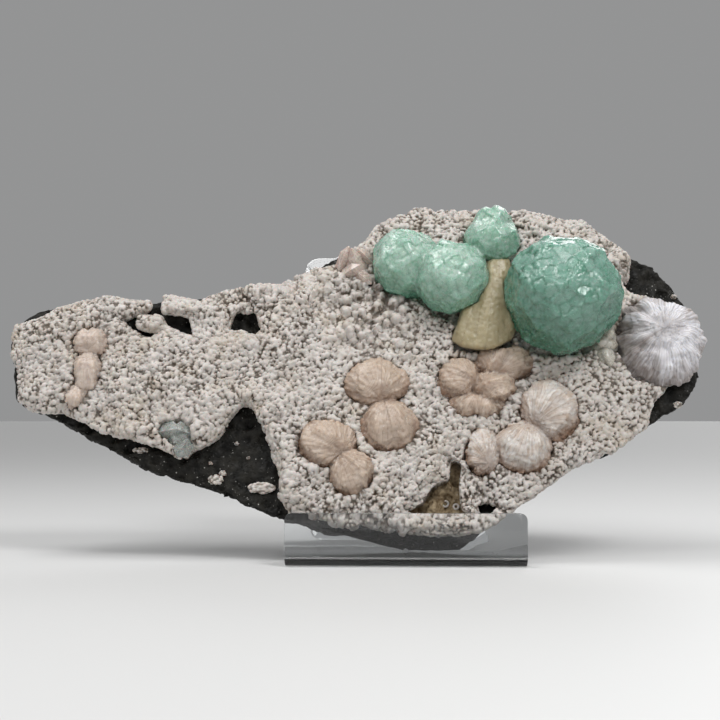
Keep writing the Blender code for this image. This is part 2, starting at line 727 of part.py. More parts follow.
def make_dome():
    """The white dome of fine needles, ribbed outwards from its crown."""
    bm = bmesh.new()
    bmesh.ops.create_uvsphere(bm, u_segments=DOME_RIBS, v_segments=DOME_RINGS, radius=1.0)
    for vert in bm.verts:
        sector = round(math.atan2(vert.co.y, vert.co.x) / (2.0 * math.pi) * DOME_RIBS)
        edge = math.hypot(vert.co.x, vert.co.y)
        rib = 1.0 + DOME_RIB_DEPTH * edge * (1 if sector % 2 else -1)
        depth, often = DOME_ROUGHNESS
        vert.co *= rib + depth * noise.noise(vert.co * often)
    bmesh.ops.rotate(bm, verts=bm.verts[:], matrix=Matrix.Rotation(math.pi / 2.0 + FACE_LEAN, 3, "X"))
    bmesh.ops.scale(bm, verts=bm.verts[:], vec=DOME_RADII)
    x, z = DOME_CENTRE
    bmesh.ops.translate(bm, verts=bm.verts[:], vec=face_point(x, z, DOME_PROUD))
    seat(bm)
    return Growth("scolecite_dome", [bm])


def pointed_crystal(x, z, length, width, lean):
    """A square crystal with a pyramid for a point."""
    bm = bmesh.new()
    point = length * CRYSTAL_POINT
    half = width / 2.0
    bmesh.ops.create_cone(
        bm, cap_ends=True, segments=CRYSTAL_SIDES, radius1=half, radius2=half, depth=length - point
    )
    top = max(bm.faces, key=lambda face: face.calc_center_median().z)
    grown = bmesh.ops.extrude_face_region(bm, geom=[top])
    bmesh.ops.delete(bm, geom=[top], context="FACES_ONLY")
    tip = [part for part in grown["geom"] if isinstance(part, bmesh.types.BMVert)]
    bmesh.ops.translate(bm, verts=tip, vec=(0.0, 0.0, point))
    middle = sum((vert.co for vert in tip), Vector()) / len(tip)
    blunt = (CRYSTAL_BLUNT, CRYSTAL_BLUNT, 1.0)
    bmesh.ops.scale(bm, verts=tip, vec=blunt, space=Matrix.Translation(-middle))
    tilt = Matrix.Rotation(math.radians(lean), 3, "Y") @ Matrix.Rotation(CRYSTAL_FORWARD, 3, "X")
    bmesh.ops.rotate(bm, verts=bm.verts[:], matrix=tilt)
    bmesh.ops.translate(bm, verts=bm.verts[:], vec=face_point(x, z, CRYSTAL_PROUD))
    return bm


def make_cluster(name, crystals):
    """Pointed crystals grown from one rounded base."""
    middle_x = sum(crystal[0] for crystal in crystals) / len(crystals)
    middle_z = sum(crystal[1] for crystal in crystals) / len(crystals)
    base = bmesh.new()
    bmesh.ops.create_icosphere(base, subdivisions=1, radius=1.0)
    bmesh.ops.scale(base, verts=base.verts[:], vec=CLUSTER_BASE)
    bmesh.ops.translate(base, verts=base.verts[:], vec=face_point(middle_x, middle_z, CLUSTER_PROUD))
    shapes = [base, *(pointed_crystal(*crystal) for crystal in crystals)]
    for shape in shapes:
        seat(shape)
    return Growth(name, shapes)


def dress(obj, material, smooth=False):
    """Gives the piece its material and shading, and puts its origin in its own middle."""
    obj.data.name = obj.name
    obj.data.materials.clear()
    obj.data.materials.append(material)
    low = Vector([min(vert.co[axis] for vert in obj.data.vertices) for axis in range(3)])
    high = Vector([max(vert.co[axis] for vert in obj.data.vertices) for axis in range(3)])
    middle = (low + high) / 2.0
    obj.data.transform(Matrix.Translation(-middle))
    obj.location = middle
    if smooth:
        obj.data.shade_smooth()
        obj.data.set_sharp_from_angle(angle=SMOOTH_UNDER)
    obj.parent = bpy.data.objects[STAND_PARENT]


def main():
    """Builds the specimen and its stand in an empty scene."""
    for obj in list(bpy.data.objects):
        bpy.data.objects.remove(obj)
    parent = bpy.data.objects.new(STAND_PARENT, None)
    bpy.context.scene.collection.objects.link(parent)

    peach = principled("stilbite_peach", PEACH, 0.4)
    green = principled("apophyllite_green", GREEN, 0.18, transmission=0.4, ior=1.535)
    white = principled("white_needles", WHITE, 0.45)

    stand = make_stand()
    rock = make_rock()
    large = make_large_ball()
    left = make_left_balls()
    stalk = make_stalk()
    dome = make_dome()
    centre, lower_left, upper_right, lower_right, left_end = (
        Growth(name, [lobe(*sizes) for sizes in lobes]) for name, lobes in SPRAYS.items()
    )
    top = make_cluster("stilbite_crystals_top", TOP_CRYSTALS)
    beside = make_cluster("stilbite_crystals_right", RIGHT_CRYSTALS)
    clear = make_cluster("apophyllite_colourless", CLEAR_CRYSTALS)
    crust = make_crust()

    for piece, neighbours in (
        (stalk, [large, left]),
        (upper_right, [large, stalk]),
        (lower_right, [upper_right]),
        (lower_left, [centre]),
        (dome, [large]),
        (beside, [large, dome]),
        (top, [left]),
    ):
        for neighbour in neighbours:
            piece.clear_by_hull(neighbour)
    grown = [large, left, stalk, dome, centre, lower_left, upper_right, lower_right]
    grown += [left_end, top, beside, clear]
    for piece in grown:
        piece.cut_from(crust, piece.wells)

    dress(stand, principled("clear_acrylic", CLEAR, 0.04, transmission=1.0, ior=1.49))
    dress(rock, principled("basalt", BLACK, 0.75))
    dress(crust, principled("chalcedony_white", CREAM, 0.6))
    dress(stalk.obj, principled("stilbite_yellow", YELLOW, 0.4))
    dress(clear.obj, principled("apophyllite_clear", GREY, 0.15, 0.5, 1.535))
    for piece in (large, left):
        dress(piece.obj, green)
    for piece in (centre, lower_left, upper_right, lower_right, left_end, top):
        dress(piece.obj, peach, smooth=piece is not top)
    for piece in (dome, beside):
        dress(piece.obj, white)


main()
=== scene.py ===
"""Apophyllite, stilbite and a white needle dome on a crusted basalt slab, on a clear stand."""

import logging
import math
from dataclasses import dataclass, replace
from enum import Enum
from typing import NamedTuple

import bmesh
import bpy
import numpy as np
from mathutils import Matrix, Vector
from mathutils.bvhtree import BVHTree
from mathutils.kdtree import KDTree


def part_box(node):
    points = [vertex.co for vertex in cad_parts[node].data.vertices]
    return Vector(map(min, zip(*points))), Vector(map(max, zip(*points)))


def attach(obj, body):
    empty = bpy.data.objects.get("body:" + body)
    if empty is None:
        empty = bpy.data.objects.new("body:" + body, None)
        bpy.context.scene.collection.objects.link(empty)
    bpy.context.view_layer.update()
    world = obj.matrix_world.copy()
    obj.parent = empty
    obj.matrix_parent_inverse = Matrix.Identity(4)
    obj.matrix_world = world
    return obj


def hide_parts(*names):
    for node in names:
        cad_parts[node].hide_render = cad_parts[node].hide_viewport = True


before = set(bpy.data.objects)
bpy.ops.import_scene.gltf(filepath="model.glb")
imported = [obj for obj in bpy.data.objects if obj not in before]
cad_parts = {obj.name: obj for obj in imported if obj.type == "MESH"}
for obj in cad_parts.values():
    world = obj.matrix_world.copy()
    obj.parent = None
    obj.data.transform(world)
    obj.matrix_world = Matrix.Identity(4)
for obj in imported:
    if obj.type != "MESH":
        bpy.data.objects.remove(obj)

MM = 0.001
BODY = "root"
WELD = 2.0e-6
GOLDEN_TURN = math.pi * (3.0 - math.sqrt(5.0))
NO_CREASE = 180.0
LOWEST_GAP = -0.6
TINY = 1e-6

Array = np.ndarray
BMesh = bmesh.types.BMesh
Mesh = bpy.types.Mesh
Material = bpy.types.Material
Socket = bpy.types.NodeSocket
Pair = tuple[float, float]
Triple = tuple[float, float, float]

log = logging.getLogger("mineral_slab")


class Slot(Enum):
    """The record's material slots."""

    BASALT = "basalt"
    CRUST = "chalcedony_crust"
    GREEN = "apophyllite_green"
    PEACH = "stilbite_peach"
    YELLOW = "stilbite_yellow"
    WHITE = "white_needles"
    ACRYLIC = "clear_acrylic"


class Grain(NamedTuple):
    """One set of round grains.

    The size is the mean distance between them in millimetres, the salt changes the pattern, and
    low and high are the smallest and largest radius as shares of the size.
    """

    size: float
    salt: int
    low: float = 0.5
    high: float = 0.85


class Wave(NamedTuple):
    """One slow unevenness: the length of its waves in millimetres, and the seed of the pattern."""

    size: float
    seed: int


@dataclass(frozen=True)
class Face:
    """The flat front of the slab, which leans back as it rises. Sizes are in millimetres."""

    lean: float = math.radians(18.0)
    foot_y: float = -14.0
    foot_z: float = 3.0

    @property
    def out(self) -> Array:
        """The direction out of the front."""
        return np.array([0.0, -math.cos(self.lean), math.sin(self.lean)])

    def points(self, x: Array, z: Array, proud: Array) -> Array:
        """Places points over the front.

        Args:
            x: Distance to the right of the stand's middle, in millimetres.
            z: Height of the point's foot on the front, in millimetres.
            proud: Distance out from the front, in millimetres.

        Returns:
            One row of x, y, z for each point, in millimetres.
        """
        x, z, proud = np.broadcast_arrays(np.asarray(x, float), z, proud)
        y = self.foot_y + (z - self.foot_z) * math.tan(self.lean)
        return np.stack([x, y, z], axis=-1) + proud[..., None] * self.out

    def ahead(self, x: float, z: float, distance: float) -> Array:
        """The point this far straight in front of the slab, in millimetres."""
        return self.points(x, z, 0.0) - np.array([0.0, distance, 0.0])


FACE = Face()


def chance(cells: Array, salt: int) -> Array:
    """Gives each whole-number cell a repeatable number from 0 to 1.

    Args:
        cells: Whole numbers, one row for each cell.
        salt: Changes the whole set of numbers.

    Returns:
        One number for each cell.
    """
    weights = np.array([127.1, 311.7, 74.7])[: cells.shape[-1]]
    raw = np.sin(cells @ weights + 19.19 * salt) * 43758.5453
    return raw - np.floor(raw)


def grains(points: Array, kind: Grain) -> tuple[Array, Array]:
    """Round grains packed at random.

    Args:
        points: Rows of two or three coordinates, in millimetres.
        kind: The set of grains.

    Returns:
        The height of the grain over each point as a share of its size, and a random number of
        that grain.
    """
    size, salt, low, high = kind
    axes = points.shape[1]
    turn = np.linalg.qr(np.random.default_rng(salt).normal(size=(axes, axes)))[0]
    points = np.asarray(points, float) @ turn
    home = np.floor(points / size)
    best = np.full(len(points), -9.0)
    tone = np.zeros(len(points))
    for step in np.indices((3,) * axes).reshape(axes, -1).T - 1:
        cell = home + step
        inside = [cell[:, axis] + 0.04 + 0.92 * chance(cell, salt + axis) for axis in range(axes)]
        share = chance(cell, salt + 7)
        radius = size * (low + (high - low) * share)
        gap = ((points - np.stack(inside, axis=1) * size) ** 2).sum(axis=1) / radius**2
        height = (1.0 - gap) * radius / size
        tone = np.where(height > best, share, tone)
        best = np.maximum(height, best)
    return np.maximum(best, LOWEST_GAP), tone


def swell(points: Array, size: float, seed: int, waves: int = 9) -> Array:
    """A slow unevenness made of waves that cross.

    Args:
        points: Rows of coordinates.
        size: Length of a wave, in the same unit.
        seed: Changes the pattern.
        waves: Number of waves.

    Returns:
        One number for each point, mostly from -1 to 1.
    """
    rng = np.random.default_rng(seed)
    total = np.zeros(len(points))
    for _ in range(waves):
        way = rng.normal(size=points.shape[1])
        way *= 2.0 * math.pi / (size * rng.uniform(0.7, 1.5)) / np.linalg.norm(way)
        total += np.sin(points @ way + rng.uniform(0.0, 2.0 * math.pi))
    return total / math.sqrt(waves)


def unit(rows: Array) -> Array:
    """The same directions with a length of 1."""
    return rows / np.maximum(np.linalg.norm(rows, axis=1), TINY)[:, None]


def bell(values: Array) -> Array:
    """A smooth hill that is 1 at 0 and nearly gone at 2."""
    return np.exp(-(values**2))


def oval(points: Array, middle: Array, half: Array) -> Array:
    """How far each point is from an oval's middle, squared, where 1 is its border."""
    return (((points - np.asarray(middle)) / np.asarray(half)) ** 2).sum(axis=1)


def read_rows(data: bpy.types.bpy_prop_collection, part: str) -> Array:
    """Reads one vector from each item."""
    flat = np.empty(len(data) * 3, np.float32)
    data.foreach_get(part, flat)
    return flat.reshape(-1, 3).astype(float)


def read_points(mesh: Mesh) -> Array:
    """The mesh's vertices in millimetres."""
    return read_rows(mesh.vertices, "co") / MM


def write_points(mesh: Mesh, points: Array) -> None:
    """Moves the mesh's vertices to these places in millimetres."""
    mesh.vertices.foreach_set("co", (points * MM).astype(np.float32).ravel())
    mesh.update()


def read_normals(mesh: Mesh) -> Array:
    """The mesh's vertex normals."""
    return read_rows(mesh.vertex_normals, "vector")


def keep(mesh: Mesh, name: str, values: Array) -> None:
    """Stores one number, or one vector, for each vertex under this name."""
    kind, part = ("FLOAT", "value") if values.ndim == 1 else ("FLOAT_VECTOR", "vector")
    made = mesh.attributes.new(name, kind, "POINT")
    made.data.foreach_set(part, values.astype(np.float32).ravel())


def read_value(mesh: Mesh, name: str) -> Array:
    """Reads back one number for each vertex."""
    flat = np.empty(len(mesh.vertices), np.float32)
    mesh.attributes[name].data.foreach_get("value", flat)
    return flat


def link(mesh: Mesh, name: str) -> bpy.types.Object:
    """Puts a mesh into the scene under this name."""
    piece = bpy.data.objects.new(name, mesh)
    bpy.context.scene.collection.objects.link(piece)
    return piece


def merged_copy(node: str) -> BMesh:
    """A copy of a node's mesh with its loose triangles joined."""
    bm = bmesh.new()
    bm.from_mesh(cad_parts[node].data)
    bmesh.ops.remove_doubles(bm, verts=bm.verts[:], dist=WELD)
    return bm


def open_edges(bm: BMesh) -> list[bmesh.types.BMEdge]:
    """The edges with a face on one side only."""
    return [edge for edge in bm.edges if len(edge.link_faces) == 1]


def settle(bm: BMesh, name: str) -> Mesh:
    """Turns a bmesh into a mesh of this name, and frees it."""
    mesh = bpy.data.meshes.new(name)
    bm.to_mesh(mesh)
    bm.free()
    return mesh


def tree_of(bm: BMesh) -> BVHTree:
    """Makes a tree for finding a bmesh's surface, and frees the bmesh."""
    tree = BVHTree.FromBMesh(bm)
    bm.free()
    return tree


def even_copy(node: str, cell: float, rounds: int = 0) -> Mesh:
    """A node's shape as even small faces.

    Args:
        node: Name of the node.
        cell: Length of a face's side, in millimetres.
        rounds: How many times the shape is smoothed.

    Returns:
        A closed mesh in the node's place.
    """
    carrier = link(settle(merged_copy(node), node + "_even"), node + "_carrier")
    remesh = carrier.modifiers.new("Even", "REMESH")
    remesh.mode = "VOXEL"
    remesh.voxel_size = cell * MM
    if rounds:
        soft = carrier.modifiers.new("Soft", "SMOOTH")
        soft.iterations = rounds
    graph = bpy.context.evaluated_depsgraph_get()
    even = bpy.data.meshes.new_from_object(carrier.evaluated_get(graph))
    bpy.data.objects.remove(carrier)
    return even


def finish_piece(
    mesh: Mesh,
    name: str,
    material: Material,
    nodes: tuple[str, ...] = (),
    crease: float = NO_CREASE,
) -> None:
    """Dresses a mesh and fixes it to the object.

    Args:
        mesh: The piece's mesh, already in place.
        name: Name of the piece.
        material: Its material.
        nodes: The nodes that it stands for.
        crease: Angle in degrees past which an edge stays sharp.
    """
    mesh.polygons.foreach_set("use_smooth", [True] * len(mesh.polygons))
    if crease < NO_CREASE:
        mesh.set_sharp_from_angle(angle=math.radians(crease))
    mesh.materials.clear()
    mesh.materials.append(material)
    mesh.update()
    piece = link(mesh, name)
    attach(piece, BODY)
    if nodes:
        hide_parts(*nodes)
    log.info("%s: %d faces", name, len(mesh.polygons))


class Recipe:
    """A material under construction, with its patterns sized in millimetres."""

    def __init__(self, name: str) -> None:
        """Starts the material.

        Args:
            name: Name of the material.
        """
        self.material = bpy.data.materials.new(name)
        self.material.use_nodes = True
        self.tree = self.material.node_tree
        self.shader = self.tree.nodes["Principled BSDF"]
        self.place = self.tree.nodes.new("ShaderNodeTexCoord").outputs["Object"]
        self.relief: Socket | None = None

    def join(self, value: object, socket: Socket) -> None:
        """Links a socket, or sets a plain number or colour."""
        if isinstance(value, Socket):
            self.tree.links.new(value, socket)
        elif isinstance(value, tuple) and len(value) == 3 and socket.type == "RGBA":
            socket.default_value = (*value, 1.0)
        else:
            socket.default_value = value

    def stored(self, name: str, part: str = "Fac") -> Socket:
        """Reads a value kept on the vertices."""
        made = self.tree.nodes.new("ShaderNodeAttribute")
        made.attribute_name = name
        return made.outputs[part]

    def noise(
        self, size: float, detail: float = 3.0, place: Socket | None = None
    ) -> Socket:
        """A soft random pattern.

        Args:
            size: Size of its patches, in millimetres.
            detail: Number of finer layers.
            place: What it is laid on, or None for the piece itself.

        Returns:
            A number from 0 to 1.
        """
        made = self.tree.nodes.new("ShaderNodeTexNoise")
        made.inputs["Scale"].default_value = 1.0 / (size * MM)
        made.inputs["Detail"].default_value = detail
        self.join(place or self.place, made.inputs["Vector"])
        return made.outputs["Fac"]

    def cells(self, size: float) -> Socket:
        """The distance to the middle of the nearest of many small cells, each size millimetres."""
        made = self.tree.nodes.new("ShaderNodeTexVoronoi")
        made.inputs["Scale"].default_value = 1.0 / (size * MM)
        self.join(self.place, made.inputs["Vector"])
        return made.outputs["Distance"]

    def spread(
        self, value: Socket, low: float, high: float, first: float = 0.0,
        last: float = 1.0,
    ) -> Socket:
        """Stretches low..high to first..last and stops there."""
        made = self.tree.nodes.new("ShaderNodeMapRange")
        self.join(value, made.inputs["Value"])
        ends = {"From Min": low, "From Max": high, "To Min": first, "To Max": last}
        for name, number in ends.items():
            made.inputs[name].default_value = number
        return made.outputs["Result"]

    def uneven(self, size: float, ends: Pair) -> Socket:
        """A soft random pattern between two values, with patches of size millimetres."""
        return self.spread(self.noise(size), 0.3, 0.7, *ends)

    def sum(self, first: object, second: object, kind: str = "ADD") -> Socket:
        """Adds two numbers, or does what kind says."""
        made = self.tree.nodes.new("ShaderNodeMath")
        made.operation = kind
        self.join(first, made.inputs[0])
        self.join(second, made.inputs[1])
        return made.outputs[0]

    def blend(self, share: object, first: object, second: object) -> Socket:
        """Mixes two colours by share."""
        made = self.tree.nodes.new("ShaderNodeMix")
        made.data_type = "RGBA"
        self.join(share, made.inputs["Factor"])
        self.join(first, made.inputs[6])
        self.join(second, made.inputs[7])
        return made.outputs[2]

    def bump(self, height: Socket, depth: float, strength: float = 1.0) -> None:
        """Adds fine relief.

        Args:
            height: Its pattern, from 0 to 1.
            depth: Its depth in millimetres.
            strength: Its share, from 0 to 1.
        """
        made = self.tree.nodes.new("ShaderNodeBump")
        made.inputs["Distance"].default_value = depth * MM
        made.inputs["Strength"].default_value = strength
        self.join(height, made.inputs["Height"])
        if self.relief is not None:
            self.join(self.relief, made.inputs["Normal"])
        self.relief = made.outputs["Normal"]
        self.join(self.relief, self.shader.inputs["Normal"])

    def set(self, **values: object) -> None:
        """Sets sockets of the shader by name, with _ for a space."""
        for name, value in values.items():
            self.join(value, self.shader.inputs[name.replace("_", " ")])


@dataclass(frozen=True)
class CrustFinish:
    """White to cream chalcedony grains with brown painted shade between them. Sizes are in
    millimetres.
    """

    top: Triple = (0.60, 0.56, 0.525)
    body: Triple = (0.37, 0.335, 0.305)
    cream: Triple = (0.44, 0.375, 0.30)
    shade_colour: Triple = (0.088, 0.062, 0.040)
    patch_size: float = 14.0
    shade_patch_size: float = 7.0
    least_shade: float = 0.6
    sheen_size: float = 1.1
    roughness: Pair = (0.36, 0.6)
    grit_size: float = 0.45
    pit_size: float = 0.55

    def build(self) -> Material:
        """Makes the material."""
        r = Recipe("chalcedony")
        patch = r.spread(r.noise(self.patch_size, 4.0), 0.38, 0.66)
        base = r.blend(patch, self.body, self.cream)
        base = r.blend(r.spread(r.stored("tone"), 0.15, 0.95), base, self.top)
        # Painted shade: the stored hollow darkens the crust towards the brown shade colour, more in
        # some random patches than in others.
        shade_patch = r.spread(r.noise(self.shade_patch_size, 5.0), 0.34, 0.66, self.least_shade, 1.0)
        depth = r.sum(r.spread(r.stored("hollow"), 0.12, 0.80), shade_patch, "MULTIPLY")
        base = r.blend(depth, base, self.shade_colour)
        r.set(Base_Color=base, IOR=1.54, Subsurface_Weight=0.12, Subsurface_Scale=1.2 * MM)
        r.set(Roughness=r.uneven(self.sheen_size, self.roughness))
        r.bump(r.noise(self.grit_size, 2.0), 0.10, 0.6)
        r.bump(r.cells(self.pit_size), 0.08, 0.5)
        return r.material


@dataclass(frozen=True)
class BasaltFinish:
    """Near-black vesicular basalt with white specks, and a brown vug. Sizes are in millimetres."""

    dark: Triple = (0.006, 0.0058, 0.005)
    grey: Triple = (0.020, 0.0185, 0.015)
    speck: Triple = (0.46, 0.45, 0.42)
    brown: Triple = (0.13, 0.085, 0.042)
    pale_brown: Triple = (0.42, 0.33, 0.21)
    speck_size: float = 2.6
    small_speck_size: float = 1.15
    sheen_size: float = 2.2
    roughness: Pair = (0.38, 0.75)
    rough_size: float = 1.5
    pore_size: float = 1.7

    def build(self) -> Material:
        """Makes the material."""
        r = Recipe("basalt")
        base = r.blend(r.spread(r.noise(4.5, 6.0), 0.36, 0.66), self.dark, self.grey)
        rust = r.blend(r.spread(r.noise(2.0, 5.0), 0.35, 0.65), self.brown, self.pale_brown)
        base = r.blend(r.stored("vug"), base, rust)
        dots = r.spread(r.cells(self.speck_size), 0.13, 0.05)
        large = r.sum(dots, r.spread(r.noise(11.0, 3.0), 0.44, 0.58), "MULTIPLY")
        dots = r.spread(r.cells(self.small_speck_size), 0.14, 0.05)
        small = r.sum(dots, r.spread(r.noise(5.0, 3.0), 0.5, 0.62), "MULTIPLY")
        base = r.blend(r.sum(large, small, "MAXIMUM"), base, self.speck)
        r.set(Base_Color=base, IOR=1.5, Specular_IOR_Level=0.18)
        r.set(Roughness=r.uneven(self.sheen_size, self.roughness))
        r.bump(r.noise(self.rough_size, 7.0), 0.55, 0.85)
        r.bump(r.spread(r.cells(self.pore_size), 0.05, 0.42), 0.45, 0.6)
        return r.material


@dataclass(frozen=True)
class CrystalFinish:
    """A clear or cloudy crystal aggregate whose fine streaks run out from its root.

    Sizes and depths are in millimetres, the size of a streak is in units of the stored ray, and
    frost and crackle say how strongly the white dust and the broken surface show.
    """

    name: str
    pale: Triple
    deep: Triple
    # The rim colour is the crystals' edge colour, and also the painted shade on the sides turned
    # away from the crown.
    rim: Triple
    crown: Pair = (0.45, 0.95)
    ragged: float = 0.0
    ragged_size: float = 0.30
    clear: float = 0.0
    glow: float = 0.2
    glow_reach: float = 3.0
    glow_radius: Triple = (1.0, 0.8, 0.6)
    roughness: Pair = (0.25, 0.5)
    refraction: float = 1.53
    streak: float = 0.045
    streaked: float = 0.55
    relief: float = 0.12
    gloss: float = 0.0
    frost: float = 0.0
    frost_colour: Triple = (0.92, 0.95, 0.93)
    dust_size: float = 0.9
    crackle: float = 0.0
    crackle_size: float = 1.9

    def build(self) -> Material:
        """Makes the material."""
        r = Recipe(self.name)
        ray = r.stored("ray", "Vector")
        streaks = r.noise(self.streak / MM, 3.0, ray)
        base = r.blend(r.spread(r.noise(6.0, 4.0), 0.3, 0.7), self.deep, self.pale)
        base = r.blend(r.spread(streaks, 0.42, 0.66, 0.0, self.streaked), base, self.pale)
        base = r.blend(r.spread(r.stored("tone"), 0.55, 1.0, 0.0, 0.5), base, self.pale)
        ragged = r.sum(r.noise(self.ragged_size / MM, 2.0, ray), 0.5, "SUBTRACT")
        middle = r.sum(r.stored("crown"), r.sum(ragged, self.ragged, "MULTIPLY"))
        edge = r.blend(r.spread(streaks, 0.40, 0.68, 0.0, 0.5), self.rim, self.deep)
        # Painted shade: faces turned away from crown_way, the front and top, take the dark rim
        # colour, so the balls' lower parts and every aggregate's outer sides are darker; on the
        # stilbite and needle rims it is partly their own brownish colour.
        base = r.blend(r.spread(middle, *self.crown), edge, base)
        base = r.blend(r.spread(r.stored("groove"), 0.3, 1.0, 0.0, 0.45), base, self.rim)
        if self.frost:
            dust = r.spread(r.cells(self.dust_size), 0.24, 0.08)
            dust = r.sum(dust, r.spread(r.noise(3.5), 0.44, 0.62), "MULTIPLY")
            base = r.blend(r.sum(dust, self.frost, "MULTIPLY"), base, self.frost_colour)
        r.set(Base_Color=base, IOR=self.refraction, Transmission_Weight=self.clear)
        r.set(Subsurface_Weight=self.glow, Subsurface_Scale=self.glow_reach * MM)
        r.set(Subsurface_Radius=self.glow_radius, Coat_Weight=self.gloss, Coat_Roughness=0.12)
        r.set(Roughness=r.uneven(1.6, self.roughness))
        r.bump(streaks, self.relief, 0.7)
        if self.crackle:
            r.bump(r.cells(self.crackle_size), self.crackle, 0.8)
            r.bump(r.noise(1.3, 5.0), self.crackle, 0.8)
        return r.material


@dataclass(frozen=True)
class FacetFinish:
    """Small single crystals with flat faces."""

    name: str
    pale: Triple
    deep: Triple
    clear: float
    roughness: Pair = (0.16, 0.42)

    def build(self) -> Material:
        """Makes the material."""
        r = Recipe(self.name)
        base = r.blend(r.spread(r.noise(2.4, 4.0), 0.34, 0.66), self.deep, self.pale)
        r.set(Base_Color=base, IOR=1.53, Transmission_Weight=self.clear)
        r.set(Roughness=r.uneven(1.2, self.roughness))
        r.set(Subsurface_Weight=0.15, Subsurface_Scale=2.0 * MM)
        r.bump(r.noise(0.7, 3.0), 0.08, 0.5)
        return r.material


@dataclass(frozen=True)
class AcrylicFinish:
    """Clear bent acrylic sheet."""

    tint: Triple = (0.975, 0.985, 0.99)

    def build(self) -> Material:
        """Makes the material."""
        r = Recipe("acrylic")
        r.set(Base_Color=self.tint, IOR=1.49, Transmission_Weight=1.0)
        r.set(Roughness=r.spread(r.noise(9.0, 4.0), 0.4, 0.8, 0.0, 0.05))
        return r.material


